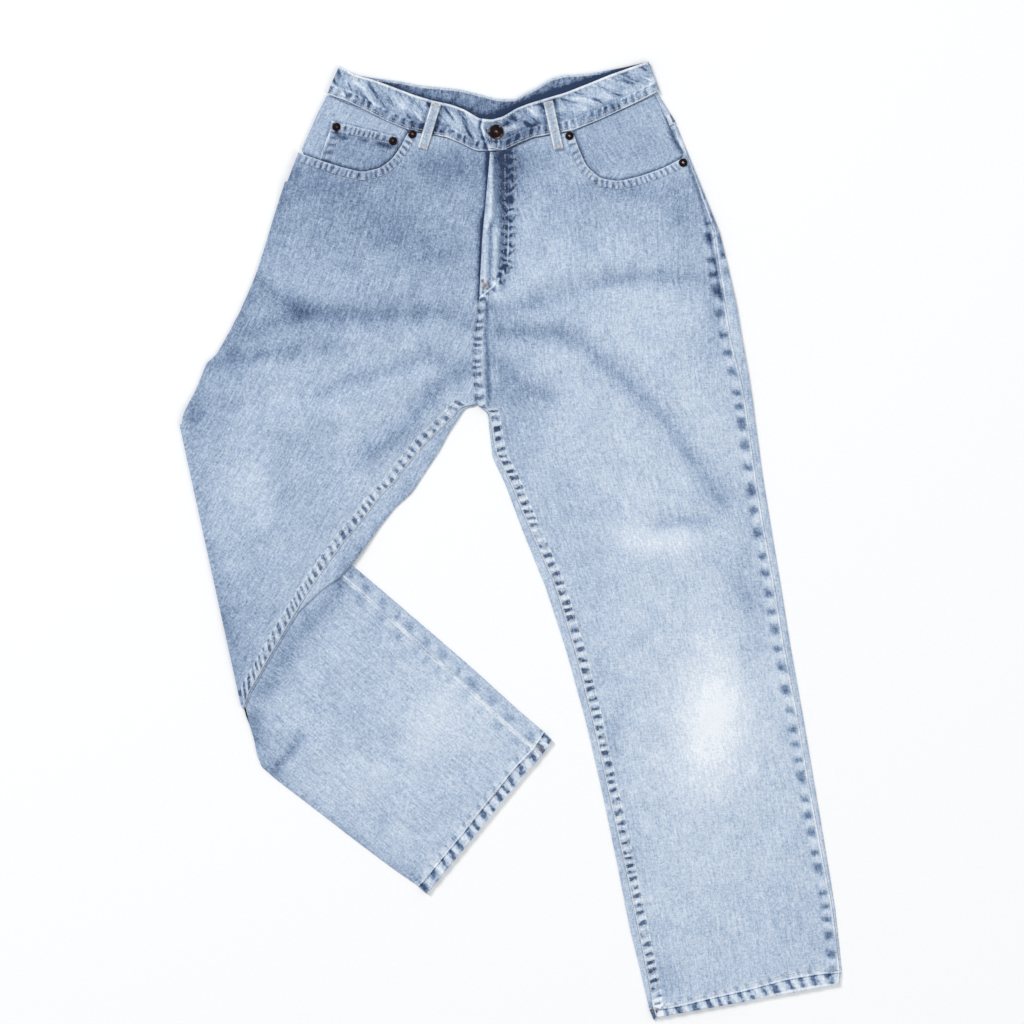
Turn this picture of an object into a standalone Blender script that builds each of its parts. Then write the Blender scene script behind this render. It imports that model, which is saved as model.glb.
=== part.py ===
"""Five-pocket jeans laid flat, front up, with the wearer's right leg folded under at the knee.

The plan is drawn on squares, x to the image's right and y down, over the laid garment seen from
straight above. Every panel is a loft of thin closed sections, a row of its table for each section.
"""
import math

import bmesh
import bpy
import numpy as np

# Driving dimensions in metres
LAID_LENGTH = 1.0549
CLOTH = 0.0012
GAP = 0.0003
BAND_PLIES = 0.0024
LOOP_CLOTH = 0.0014
LOOP_WIDTH = 0.0105
BUTTON_RADIUS = 0.0082
RIVET_RADIUS = 0.0047
LEG_PUFF = 0.0030
PUFF_REACH = 0.045
EDGE_ROUND = 0.0010
SECTION_PITCH = 0.028
FLY_LAP = 0.018
HEM_TURN = 0.0012

# The plan: squares from the waistband's highest corner to the hem, and its middle
PLAN_SQUARES = 959.0
SQUARE = LAID_LENGTH / PLAN_SQUARES
PLAN_MIDDLE = (512.5, 541.5)
COLUMNS = 13

# Levels of the four faces of a leg above what it lies on, from the underside up
LEVELS = (0.0, CLOTH, CLOTH + GAP, 2 * CLOTH + GAP)
LAYER = CLOTH + GAP
FOLD_MIDDLE = 2 * CLOTH + 1.5 * GAP

# Left leg. outer is the side away from the crotch, strip the back panel's showing width there,
# front the front panel's inner edge, back the back panel's inner edge. joined is 1 below the crotch.
LEG_COLUMNS = ("outer_x", "outer_y", "strip", "front_x", "front_y", "back_x", "back_y", "joined")
LEFT_LEG = (
    (719, 231, 5, 482, 240, 486, 238, 0),
    (728, 268, 9, 480.5, 270, 485, 270, 0),
    (736, 303, 11, 479, 300, 484, 300, 0),
    (742, 340, 11, 473.5, 335, 483, 335, 0),
    (748, 372, 9, 472.5, 368, 481.5, 368, 0),
    (753, 405, 7, 474, 403, 480.5, 404, 0),
    (754.5, 418, 7, 489.6, 413, 488, 413.5, 1),
    (757, 435, 7, 492.2, 433, 490, 434, 1),
    (760, 457, 7, 496.5, 456, 492.5, 457.5, 1),
    (763.5, 482, 7, 509.5, 481, 505, 483, 1),
    (771, 528, 7, 529, 528, 522.5, 530, 1),
    (780.5, 585, 6, 554.5, 585, 546, 588, 1),
    (790, 645, 6, 574, 648, 566.5, 651, 1),
    (802, 712, 5, 592, 719, 586, 721.5, 1),
    (814, 783, 5, 608.5, 793, 603, 795.5, 1),
    (824.5, 845, 4, 623.5, 860, 617, 862.5, 1),
    (835, 908, 2.5, 637, 924, 629.5, 926.5, 1),
    (841.5, 968, 2, 651, 994, 646.5, 996, 1),
)
LEFT_HEM = (
    (841.5, 971, 2, 652.5, 1006, 649, 1008, 1),
    (840.3, 985, 2, 656.5, 1018.5, 654, 1021, 1),
)

# Right leg above the knee fold. strip is the front panel's width wrapped under at the outer side.
RIGHT_THIGH = (
    (285, 182, 4, 492, 240, 486, 240, 0),
    (275, 213, 7, 491, 270, 485, 270, 0),
    (264, 250, 9, 489, 303, 484, 303, 0),
    (255, 277, 10, 482.5, 335, 483, 335, 0),
    (247, 296, 10, 481, 368, 481.5, 368, 0),
    (242, 307, 10, 480.5, 396, 480, 397, 0),
    (240, 312, 10, 477, 405, 477, 406.5, 0),
    (238, 316, 10, 463.5, 405.5, 465.5, 407.5, 1),
    (235, 321, 10, 455, 415, 458.5, 418, 1),
    (230.5, 330, 10, 441.5, 429, 448, 434, 1),
    (226, 338, 10, 428, 441, 440, 450, 1),
    (221, 347, 10, 413, 458, 428, 468, 1),
    (216, 355, 10, 396.5, 480.5, 412, 493, 1),
    (207, 363, 10, 380, 497, 396, 507, 1),
    (204, 370, 10, 364, 519, 379, 528, 1),
    (200, 380, 10, 347, 539, 362, 552, 1),
    (195, 392, 10, 328, 564, 345, 574, 1),
    (190.5, 400, 10, 314, 584, 323, 589, 1),
    (186.5, 408, 10, 298, 609, 300.5, 610, 1),
    (184, 413, 10, 280, 639, 281.8, 640, 1),
    (182.6, 418, 10, 262, 670, 263.8, 671, 1),
    (182, 421.5, 10, 249, 693, 250.8, 694, 1),
)
FOLD_LINE = ((182, 424, 11, 244, 707, 245.8, 708, 1),)
# Right shin, turned over. strip is the front panel's width that shows on top at the outer side,
# and the back panel wraps under at the inner side.
RIGHT_SHIN = (
    (195, 435, 12, 246, 715, 250, 726, 1),
    (230, 464, 13, 249, 719, 254, 739, 1),
    (280, 505, 14, 254, 734, 257.5, 756, 1),
    (330, 547, 15, 264, 748, 262, 767, 1),
    (370, 580, 16, 284, 769, 277, 780, 1),
    (420, 623, 17, 322, 799, 315, 809, 1),
    (470, 666, 18, 362, 830, 355, 840, 1),
    (520, 711.5, 19, 402, 860, 395, 870, 1),
    (543, 731, 19, 423, 876, 417, 885, 1),
)
SHIN_HEM = (
    (546, 734, 19, 426, 879, 420, 888, 1),
    (554, 742, 19, 435, 886, 429, 895, 1),
)

# Upper edges of the front panels, from the outer side along the pocket mouth and the waist seam
FRONT_TOP_RIGHT = (
    (300, 153.5), (320, 160.5), (340, 167), (362, 172.5), (380, 168.5), (392, 159.5), (401, 147),
    (409, 131), (424, 134.5), (447, 138.5), (462, 145), (476, 152), (499, 152.5),
)
FRONT_TOP_LEFT = (
    (686.4, 156), (664, 168), (640, 176.5), (618, 181.5), (600, 178.5), (586, 166), (578, 147),
    (573, 131.8), (553, 135.5), (533, 139), (517, 145.6), (503, 152.5), (490, 152.5),
)
MOUTH_POINTS = 8

# Waistband sections from the right front end round the back to the left front end: the top edge,
# the seam below it, the turn (0 in front, 1 behind) and how far the end is raised over the other end
BAND_COLUMNS = ("top_x", "top_y", "seam_x", "seam_y", "turn", "raised")
BAND = (
    (507, 121, 507, 150, 0, 0), (488, 119.5, 488, 151, 0, 0), (479, 118.5, 476, 151, 0, 0),
    (465, 110, 462, 144, 0, 0), (452, 105, 447, 137.5, 0, 0), (433, 101, 424, 133.5, 0, 0),
    (415, 95.5, 405, 129, 0, 0), (395, 88, 385, 120.5, 0, 0), (375, 80.5, 364, 109.5, 0, 0),
    (355, 75, 345, 100.5, 0, 0), (341.5, 67, 329, 95, 0, 0), (341.5, 67, 329, 95, 0.25, 0),
    (341.5, 67, 329, 95, 0.5, 0), (341.5, 67, 329, 95, 0.75, 0), (341.5, 67, 329, 95, 1, 0),
    (357, 75.5, 345, 103, 1, 0), (375, 78.5, 365, 108.5, 1, 0), (400, 81.5, 393, 112, 1, 0),
    (420, 85.5, 415, 116.5, 1, 0), (440, 87.5, 437, 119, 1, 0), (460, 89.5, 458, 122, 1, 0),
    (480, 94.5, 479, 126.5, 1, 0), (497, 99, 497, 131, 1, 0), (515, 99.5, 515, 131.5, 1, 0),
    (526, 93, 530, 124.5, 1, 0), (538, 87, 545, 117, 1, 0), (550, 79, 560, 109, 1, 0),
    (562, 75.5, 576, 106, 1, 0), (580, 74.5, 594, 106, 1, 0), (600, 72, 612, 104, 1, 0),
    (622, 68, 633, 99, 1, 0), (646, 62.3, 657, 92, 1, 0), (646, 62.3, 657, 92, 0.75, 0),
    (646, 62.3, 657, 92, 0.5, 0), (646, 62.3, 657, 92, 0.25, 0), (646, 62.3, 657, 92, 0, 0),
    (630, 68, 640, 101, 0, 0), (610, 75, 619, 111, 0, 0), (588, 84, 597, 121, 0, 0),
    (565, 93, 573, 130.3, 0, 0), (548, 98, 553, 134, 0, 0), (530, 103.5, 533, 137.5, 0, 0.35),
    (517, 108.5, 517, 144, 0, 1), (503, 117, 503, 151, 0, 1), (492, 120, 495, 149, 0, 1),
    (484, 120, 488.5, 148, 0, 1),
)
BACK_SEAM_RIGHT = slice(14, 23)
BACK_SEAM_LEFT = slice(22, 32)

# Folds that lie across the cloth: three points, height in mm (a trough is negative), half width
FOLD_COLUMNS = ("x0", "y0", "x1", "y1", "x2", "y2", "height", "reach")
FRONT_RIGHT_FOLDS = (
    (285, 305, 340, 318, 460, 316, -2.4, 9), (300, 335, 360, 338, 440, 336, 3.0, 14),
    (263, 400, 330, 392, 437, 355, -2.2, 11), (265, 424, 330, 418, 400, 386, 2.6, 15),
    (457, 371, 425, 400, 357, 448, -2.4, 10), (440, 404, 415, 432, 375, 468, 2.6, 13),
    (360, 200, 420, 235, 470, 262, -1.6, 16), (215, 352, 255, 362, 300, 360, -2.0, 8),
)
FRONT_LEFT_FOLDS = (
    (497, 309, 598, 283, 697, 280, -2.2, 11), (510, 292, 600, 264, 690, 258, 2.6, 15),
    (497, 331, 590, 345, 635, 390, -2.6, 10), (635, 390, 683, 443, 726, 507, -2.6, 10),
    (520, 314, 610, 330, 660, 378, 3.0, 14), (655, 378, 705, 432, 740, 490, 2.6, 13),
    (657, 528, 680, 520, 708, 520, -2.0, 8), (645, 548, 675, 542, 700, 541, 2.4, 13),
    (494, 358, 530, 395, 552, 396, -2.0, 11), (590, 600, 640, 640, 690, 700, 1.6, 26),
)
SHIN_FOLDS = (
    (272, 772, 286, 756, 302, 736, -2.4, 9), (290, 782, 306, 764, 320, 742, 2.4, 12),
)

# Yokes, facings, coin pocket and back pockets: each row a section from its outer to its inner side
SHEET_COLUMNS = ("outer_x", "outer_y", "inner_x", "inner_y")
YOKE_LOWER = {"right": (312.5, 127.5, 488.8, 202), "left": (676, 123, 489.4, 202)}
FACING_RIGHT = ((327, 95.5, 407.5, 130), (318, 113, 420, 148), (310, 131, 424, 162),
                (301.5, 149.5, 424, 174), (313, 172, 424, 184))
FACING_LEFT = ((655, 95.3, 574.5, 131.2), (668, 124, 556, 152), (677, 140, 556, 168),
               (683.5, 152.5, 560, 184), (668, 186, 566, 198))
COIN_POCKET = ((332, 121, 397.5, 137), (329.5, 132, 398, 143), (322, 152, 397, 163),
               (316, 171, 395, 178))
BACK_POCKET_RIGHT = ((334, 182, 455, 217), (320, 260, 436, 294), (318, 284, 426, 314),
                     (358, 318, 374, 322))
BACK_POCKET_LEFT = ((652, 178, 524, 210), (668, 254, 548, 288), (670, 280, 560, 310),
                    (626, 316, 608, 320))

# Belt loops: the middle of the upper end, the middle of the lower end, and the layer they lie on
LOOP_COLUMNS = ("top_x", "top_y", "end_x", "end_y", "side")
BELT_LOOPS = (
    (436.5, 103.5, 422.5, 149.5, "front"), (548, 102, 558.5, 149.5, "front"),
    (399, 84, 391, 128, "back"), (497, 101, 497, 147, "back"), (599, 75, 611, 120, "back"),
)
# Rivets on the front: centre, and the piece that carries it
RIVETS = (
    ("rivet_1", 336.6, 127.3, "coin"), ("rivet_2", 393.3, 141.4, "coin"),
    ("rivet_3", 412.5, 134.6, "front_right"), ("rivet_4", 569.5, 136.2, "front_left"),
    ("rivet_5", 683, 163, "front_left"),
)
BUTTON_CENTRE = (496.2, 132.5)
KNEE_EDGE = ((182, 424), (356, 568))

DENIM = (0.48, 0.58, 0.72, 1.0)
COPPER = (0.16, 0.09, 0.07, 1.0)


def plan(x, y):
    """Plan squares to metres, +X to the image's right and +Y to the waist."""
    return np.stack([(np.asarray(x, float) - PLAN_MIDDLE[0]) * SQUARE,
                     (PLAN_MIDDLE[1] - np.asarray(y, float)) * SQUARE], axis=-1)


def smooth(t):
    """A soft step from 0 to 1."""
    t = np.clip(t, 0.0, 1.0)
    return t * t * (3 - 2 * t)


def reach_to(points, line):
    """Distance of each point from a polyline, all in metres."""
    nearest = np.full(points.shape[:-1], np.inf)
    for start, end in zip(line[:-1], line[1:]):
        along = end - start
        t = np.clip(((points - start) @ along) / (along @ along), 0, 1)
        nearest = np.minimum(nearest, np.linalg.norm(points - start - t[..., None] * along, axis=-1))
    return nearest


def hip_lift(points):
    """The back panels lie on the back pockets, and sink to the floor over the thighs."""
    y = PLAN_MIDDLE[1] - points[..., 1] / SQUARE
    return LAYER * smooth((480 - y) / 120)


def knee_lift(points):
    """The thigh rises over the shin folded under it."""
    start, end = (plan(*corner) for corner in KNEE_EDGE)
    along = (end - start) / np.linalg.norm(end - start)
    inside = (points - start) @ np.array([along[1], -along[0]])
    return 2 * LAYER * smooth((inside / SQUARE + 62) / 58)


def fold_height(points, folds):
    """Ridges and troughs of the cloth, each a soft bell across its line."""
    height = np.zeros(points.shape[:-1])
    for fold in folds:
        row = dict(zip(FOLD_COLUMNS, fold))
        line = plan([row["x0"], row["x1"], row["x2"]], [row["y0"], row["y1"], row["y2"]])
        near = reach_to(points, line) / (row["reach"] * SQUARE)
        height += row["height"] / 1000 * np.exp(-near ** 2)
    return height


def mouth_lift(points, top, layers):
    """The front panel's upper edge stands over what lies under the pocket mouth and beside the band."""
    edge = plan(*np.array(top).T)
    mouth = smooth(1.6 - reach_to(points, edge[:MOUTH_POINTS]) / (38 * SQUARE)) * layers
    waist = smooth(1.4 - reach_to(points, edge[MOUTH_POINTS - 1:]) / (30 * SQUARE))
    return LAYER * np.maximum(mouth, waist)


def fly_lift(points):
    """The left front laps over the right front along the fly and down to the crotch."""
    lap = plan([490, 488, 482, 479, 473, 474], [150, 200, 240, 300, 340, 405])
    return LAYER * smooth(1.9 - reach_to(points, lap) / (16 * SQUARE))


SIDES = {
    "right": {"top": FRONT_TOP_RIGHT, "mouth_layers": 2.4, "folds": FRONT_RIGHT_FOLDS},
    "left": {"top": FRONT_TOP_LEFT, "mouth_layers": 1.0, "folds": FRONT_LEFT_FOLDS},
}


def base_height(points, side):
    """What a leg lies on: the back pockets, and on the right the shin."""
    height = hip_lift(points)
    return np.maximum(height, knee_lift(points)) if side == "right" else height


def front_rise(points, side):
    """How far the front panel stands above its place on the back panel."""
    rise = mouth_lift(points, SIDES[side]["top"], SIDES[side]["mouth_layers"])
    return rise + fly_lift(points) if side == "left" else rise


def front_top(x, y, side):
    """Height of the front panel's outer face at a plan point beside a seam."""
    point = plan(x, y)
    return float(base_height(point, side) + front_rise(point, side) + LEVELS[3])


def refined(rows):
    """The table's rows with straight ones put between them, one for each section pitch."""
    rows = np.array(rows, float)
    out = [rows[0]]
    for first, second in zip(rows[:-1], rows[1:]):
        move = max(np.hypot(*(second - first)[0:2]), np.hypot(*(second - first)[3:5])) * SQUARE
        parts = max(1, round(move / SECTION_PITCH))
        out += [first + (second - first) * k / parts for k in range(1, parts + 1)]
    return np.array(out)


def section(row, turn=0.0, hem=0.0):
    """One straight section across a leg: its edges, seams and the columns between them."""
    outer_x, outer_y, strip, front_x, front_y, back_x, back_y, joined = row
    outer, front, back = plan(outer_x, outer_y), plan(front_x, front_y), plan(back_x, back_y)
    unit = (front - outer) / np.linalg.norm(front - outer)
    seam = outer + unit * strip * SQUARE
    if not joined:
        back = back - unit * GAP
    back_seam = front if joined else back - unit * 1.6 * SQUARE
    share = np.linspace(0, 1, COLUMNS)[:, None]
    return {
        "outer": outer, "inner": back, "seam": seam, "back_seam": back_seam, "unit": unit,
        "outer_wrap": min(1.0, max(0.0, (strip - 1.6) / 3)),
        "inner_wrap": joined * float(smooth((np.linalg.norm(back - front) / SQUARE - 2.2) / 3)),
        "front": seam + (front - seam) * share, "back": seam + (back_seam - seam) * share,
        "turn": turn, "hem": hem, "puff": 1.0, "lap": 0.0 if joined else FLY_LAP,
    }


def edge_points(at, unit, limit):
    """Plan points across a wrapped edge, from its rounded rim to the step beside the seam."""
    return [limit + unit * EDGE_ROUND, at - unit * 0.0004, at - unit * GAP / 2]


def surface(points, number, side, sec, rise):
    """Places plan points on one of a leg's four faces: 0 is the back's outside, 3 the front's."""
    radius = LEVELS[number] + GAP / 2
    turned = sec["turn"] * math.pi
    inward = np.array([sec["unit"][1], -sec["unit"][0]])
    flat = points + inward * radius * math.sin(turned)
    if sec["turn"] == 0:
        height = LEVELS[number] + base_height(points, side) + rise
        height = height + sec["hem"] * HEM_TURN * (0, 1, 1, 2)[number]
    else:
        height = FOLD_MIDDLE + radius * math.cos(turned) + rise
        height = height + sec["hem"] * HEM_TURN * (2, 1, 1, 0)[number]
    return np.column_stack([flat, np.broadcast_to(height, len(points))])


def puff(points, sec, side, main):
    """Air and folds between the sheets, dying out at the seams."""
    span = np.linalg.norm(points - main[0], axis=-1)
    to_seam = np.minimum(span, np.linalg.norm(points - main[-1], axis=-1) - sec["lap"])
    folds = SHIN_FOLDS if sec["turn"] else SIDES[side]["folds"]
    height = np.maximum(LEG_PUFF + fold_height(points, folds), 0.0004)
    if sec["turn"]:
        thigh = plan([182, 244, 300, 360, 380], [424, 707, 607, 524, 545])
        height = height * smooth(reach_to(points, thigh) / 0.05 - 0.4) * (sec["turn"] == 1)
        height = height * covered(points)
    elif side == "right":
        fold = plan([182, 244], [424, 707])
        height = height * smooth(reach_to(points, fold) / 0.05)
    return height * smooth(to_seam / PUFF_REACH) * (1 - sec["hem"]) * sec["puff"]


def covered(points):
    """0 where the thigh lies over the shin, rising to 1 past the thigh's inner edge."""
    start, end = plan(244, 707), plan(362, 552)
    along = (end - start) / np.linalg.norm(end - start)
    past = (points - start) @ np.array([along[1], -along[0]])
    return smooth((past - 0.020) / 0.05)


def panel_ring(sec, side, panel):
    """A closed ring of points round one panel's cloth at one section."""
    front = panel == "front"
    own_out, own_in, other_out = (3, 2, 0) if front else (0, 1, 3)
    main = sec[panel]
    wraps_outer = front if side == "right" else not front
    wraps_inner = not front
    unit = sec["unit"]
    first = edge_points(main[0], unit, sec["outer"]) if wraps_outer else [main[0] + unit * GAP / 2]
    last_step = edge_points(main[-1], -unit, sec["inner"])[::-1]
    last = last_step if wraps_inner else [main[-1] - unit * GAP / 2]
    points = np.array(first + list(main[1:-1]) + last)
    over = np.zeros(len(points))
    if wraps_outer:
        over[:2] = sec["outer_wrap"]
    if wraps_inner:
        over[-2:] = sec["inner_wrap"]
    upper = (not front) if sec["turn"] else front
    rise = puff(points, sec, side, main) * (over == 0) if upper else np.zeros(len(points))
    if front and not sec["turn"]:
        rise = rise + front_rise(points, side)
    out = surface(points, own_out, side, sec, rise)
    inn = surface(points, own_in, side, sec, rise)
    far = surface(points, other_out, side, sec, 0.0)
    if not front and not sec["turn"]:
        far = surface(points, other_out, side, sec, front_rise(points, side) * (sec["hem"] == 0))
    inn = inn + (far - inn) * over[:, None]
    rims = []
    for used, limit, end in ((wraps_outer, sec["outer"], 0), (wraps_inner, sec["inner"], -1)):
        middle = (out[end] + inn[end]) / 2
        shift = limit - points[end]
        rims.append(np.append(middle[:2] + shift, middle[2]) if used else None)
    return out, inn, rims


def loft(name, rings, colour, metallic=0.0, roughness=0.9):
    """A closed body through rings, each an outer chain, an inner chain and its rounded rims."""
    verts, faces = [], []
    count = len(rings[0][0])
    has_first, has_last = (rim is not None for rim in rings[0][2])
    size = 2 * count + has_first + has_last
    for out, inn, (first, last) in rings:
        ring = ([first] if has_first else []) + list(out) + ([last] if has_last else [])
        verts += [tuple(point) for point in ring + list(inn[::-1])]
    for row in range(len(rings) - 1):
        for k in range(size):
            a, b = row * size + k, row * size + (k + 1) % size
            faces.append((a, b, b + size, a + size))
    for start in (0, (len(rings) - 1) * size):
        outs = [start + has_first + k for k in range(count)]
        inns = [start + size - 1 - k for k in range(count)]
        faces += [(outs[k], outs[k + 1], inns[k + 1], inns[k]) for k in range(count - 1)]
        if has_first:
            faces.append((start, outs[0], inns[0]))
        if has_last:
            faces.append((outs[-1] + 1, inns[-1], outs[-1]))
    return solid(name, verts, faces, colour, metallic, roughness)


def solid(name, verts, faces, colour, metallic=0.0, roughness=0.9):
    """A named object with its own material and its faces turned outwards."""
    work = bmesh.new()
    made = [work.verts.new(vert) for vert in verts]
    for face in faces:
        work.faces.new([made[index] for index in face])
    bmesh.ops.recalc_face_normals(work, faces=work.faces)
    bmesh.ops.triangulate(work, faces=work.faces)
    mesh = bpy.data.meshes.new(name)
    work.to_mesh(mesh)
    work.free()
    material = bpy.data.materials.new(name)
    material.use_nodes = True
    shader = material.node_tree.nodes["Principled BSDF"]
    shader.inputs["Base Color"].default_value = colour
    shader.inputs["Metallic"].default_value = metallic
    shader.inputs["Roughness"].default_value = roughness
    mesh.materials.append(material)
    body = bpy.data.objects.new(name, mesh)
    bpy.context.scene.collection.objects.link(body)
    return body


def top_sections(side, first_row):
    """Front panel sections from its curved upper edge down to the first straight one."""
    below = section(first_row)
    top = plan(*np.array(SIDES[side]["top"]).T)
    rows = []
    steps = 4
    for k in range(steps):
        share = k / steps
        sec = dict(below)
        sec["front"] = top + (below["front"] - top) * share
        outer = sec["front"][0]
        along = sec["front"][1] - outer
        sec["unit"] = along / np.linalg.norm(along)
        sec["outer"] = outer - sec["unit"] * 1.8 * SQUARE
        sec["outer_wrap"] = below["outer_wrap"] * share
        sec["puff"] = share
        rows.append(sec)
    return rows


def leg_sections(side):
    """All sections of a leg in order, from the hip to the hem, through the knee fold on the right."""
    if side == "left":
        body = [section(row) for row in refined(LEFT_LEG)]
        return body + [section(row, 0.0, hem) for row, hem in zip(LEFT_HEM, (1.0, 1.0))]
    body = [section(row) for row in refined(RIGHT_THIGH)]
    body += [section(FOLD_LINE[0], turn) for turn in (0.0, 0.25, 0.5, 0.75, 1.0)]
    body += [section(row, 1.0) for row in refined(RIGHT_SHIN)]
    return body + [section(row, 1.0, 1.0) for row in SHIN_HEM]


def legs():
    """The four leg panels."""
    for side, first in (("right", RIGHT_THIGH[0]), ("left", LEFT_LEG[0])):
        sections = leg_sections(side)
        fronts = top_sections(side, first) + sections
        loft(f"front_{side}", [panel_ring(sec, side, "front") for sec in fronts], DENIM)
        lower = np.array(YOKE_LOWER[side]) + (0, 1.6, 0, 1.6)
        top_row = (lower[0], lower[1], 1.7, lower[2], lower[3], lower[2], lower[3], 0)
        upper = [section(row) for row in refined((top_row, first))[:-1]]
        loft(f"back_{side}", [panel_ring(sec, side, "back") for sec in upper + sections], DENIM)


def sheet(name, rows, low, height, colour=DENIM, columns=5, welt=0.0):
    """A flat piece lofted through straight rows, with its first two rows thicker by the welt."""
    rings = []
    for index, row in enumerate(rows):
        ends = plan([row[0], row[2]], [row[1], row[3]])
        points = ends[0] + (ends[1] - ends[0]) * np.linspace(0, 1, columns)[:, None]
        top = low + height + (welt if index < 2 else 0.0)
        out = np.column_stack([points, np.full(columns, top)])
        inn = np.column_stack([points, np.full(columns, low)])
        rings.append((out, inn, (None, None)))
    return loft(name, rings, colour)


def yokes():
    """The back yokes between the waistband behind and the back panels."""
    band = np.array(BAND)[:, :4]
    for side, seam in (("right", BACK_SEAM_RIGHT), ("left", BACK_SEAM_LEFT)):
        upper = plan(band[seam, 2], band[seam, 3] + 0.5)
        if side == "left":
            upper = upper[::-1]
            upper[-1, 0] += GAP
        else:
            upper[-1, 0] -= GAP
        lower_row = YOKE_LOWER[side]
        ends = plan([lower_row[0], lower_row[2]], [lower_row[1], lower_row[3]])
        lower = ends[0] + (ends[1] - ends[0]) * np.linspace(0, 1, len(upper))[:, None]
        rings = []
        for share in (0, 0.5, 1):
            points = upper + (lower - upper) * share
            rings.append((np.column_stack([points, np.full(len(points), LAYER + CLOTH)]),
                          np.column_stack([points, np.full(len(points), LAYER)]), (None, None)))
        loft(f"yoke_{side}", rings, DENIM)


def waistband():
    """The band's two plies swept round the waist, its ends lapped at the front."""
    middle = LAYER + BAND_PLIES + GAP
    rings = []
    for values in BAND:
        row = dict(zip(BAND_COLUMNS, values))
        top, seam = plan(row["top_x"], row["top_y"]), plan(row["seam_x"], row["seam_y"])
        turned = row["turn"] * math.pi
        away = -1.0 if row["top_x"] < PLAN_MIDDLE[0] else 1.0
        down = (seam - top) / np.linalg.norm(seam - top)
        side = np.array([-down[1], down[0]]) * away
        side = side * np.sign(side[0] * away)
        chains = []
        for radius in (GAP + BAND_PLIES, GAP):
            edge = [top + down * 0.0008, (top + seam) / 2, seam]
            height = middle + radius * math.cos(turned) + row["raised"] * (BAND_PLIES + GAP)
            chains.append(np.array([[*(point + side * radius * math.sin(turned)), height] for point in edge]))
        rim = (chains[0][0] + chains[1][0]) / 2
        rim[:2] -= down * 0.0008
        rings.append((chains[0], chains[1], (rim, None)))
    loft("waistband", rings, DENIM)


def belt_loops():
    """Two loops over the front of the band and three behind it, under the back."""
    for index, values in enumerate(BELT_LOOPS):
        row = dict(zip(LOOP_COLUMNS, values))
        top, end = plan(row["top_x"], row["top_y"]), plan(row["end_x"], row["end_y"])
        down = (end - top) / np.linalg.norm(end - top)
        half = np.array([-down[1], down[0]]) * LOOP_WIDTH / 2
        rings = []
        for share, arch in ((0, 0), (0.12, 0.5), (0.5, 1), (0.85, 0.9), (1, 0.6)):
            points = top + (end - top) * share
            points = np.array([points - half, points + half])
            low = 0.0
            if row["side"] == "front":
                low = band_top() + GAP + arch * 0.0012
            thick = LOOP_CLOTH if row["side"] == "front" else CLOTH
            rings.append((np.column_stack([points, np.full(2, low + thick)]),
                          np.column_stack([points, np.full(2, low)]), (None, None)))
        loft(f"belt_loop_{index + 1}", rings, (0.62, 0.66, 0.72, 1.0))


def band_top():
    """Height of the waistband's front face, or of the front panel where that stands higher."""
    band = LAYER + 2 * (BAND_PLIES + GAP)
    return max(band, front_top(424, 140, "right"))


def turned_piece(name, centre, low, profile, segments):
    """A round piece from a profile of radius and height, from its foot up to its middle."""
    verts, faces = [], []
    for radius, height in profile:
        for k in range(segments):
            angle = 2 * math.pi * k / segments
            verts.append((centre[0] + radius * math.cos(angle), centre[1] + radius * math.sin(angle),
                          low + height))
    rows = len(profile)
    for row in range(rows - 1):
        for k in range(segments):
            a, b = row * segments + k, row * segments + (k + 1) % segments
            faces.append((a, b, b + segments, a + segments))
    faces.append(tuple(range(segments)))
    faces.append(tuple((rows - 1) * segments + k for k in range(segments)))
    return solid(name, verts, faces, COPPER, 0.9, 0.4)


def metal():
    """The button on the lapped band, and the rivets."""
    r = BUTTON_RADIUS
    lapped = LAYER + 3 * (BAND_PLIES + GAP)
    turned_piece("button", plan(*BUTTON_CENTRE), lapped + GAP, (
        (0.5 * r, 0), (0.5 * r, 0.0008), (0.92 * r, 0.0009), (r, 0.0016), (0.93 * r, 0.0026),
        (0.78 * r, 0.0030), (0.66 * r, 0.0025), (0.36 * r, 0.0026), (0.2 * r, 0.0031)), 24)
    r = RIVET_RADIUS
    for name, x, y, carrier in RIVETS:
        low = 3 * LAYER + CLOTH + 0.0006 if carrier == "coin" else front_top(x, y, carrier[6:])
        turned_piece(name, plan(x, y), low + GAP, (
            (r, 0), (r, 0.0005), (0.72 * r, 0.0012), (0.5 * r, 0.0013), (0.25 * r, 0.0020)), 14)


def clear_scene():
    for item in list(bpy.data.objects):
        bpy.data.objects.remove(item, do_unlink=True)


def centre_pieces():
    """Moves every piece so that the middle of the whole underside is the origin."""
    pieces = list(bpy.data.objects)
    spots = np.array([tuple(vert.co) for piece in pieces for vert in piece.data.vertices])
    middle = (spots.min(axis=0) + spots.max(axis=0)) / 2
    for piece in pieces:
        for vert in piece.data.vertices:
            vert.co.x -= middle[0]
            vert.co.y -= middle[1]


clear_scene()
legs()
yokes()
sheet("facing_right", FACING_RIGHT, 2 * LAYER, CLOTH)
sheet("facing_left", FACING_LEFT, 2 * LAYER, CLOTH)
sheet("coin_pocket", COIN_POCKET, 3 * LAYER, CLOTH, columns=4, welt=0.0006)
sheet("back_pocket_right", BACK_POCKET_RIGHT, 0.0, CLOTH)
sheet("back_pocket_left", BACK_POCKET_LEFT, 0.0, CLOTH)
waistband()
belt_loops()
metal()
centre_pieces()
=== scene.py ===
"""Dresses the laid jeans: faded denim with its folds, seams, puckers, stitching and metal.

The plan is drawn on squares, x to the image's right and y down, over the garment seen from
straight above, and every piece is worked out on grids of plan points in metres.
"""
import math

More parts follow.
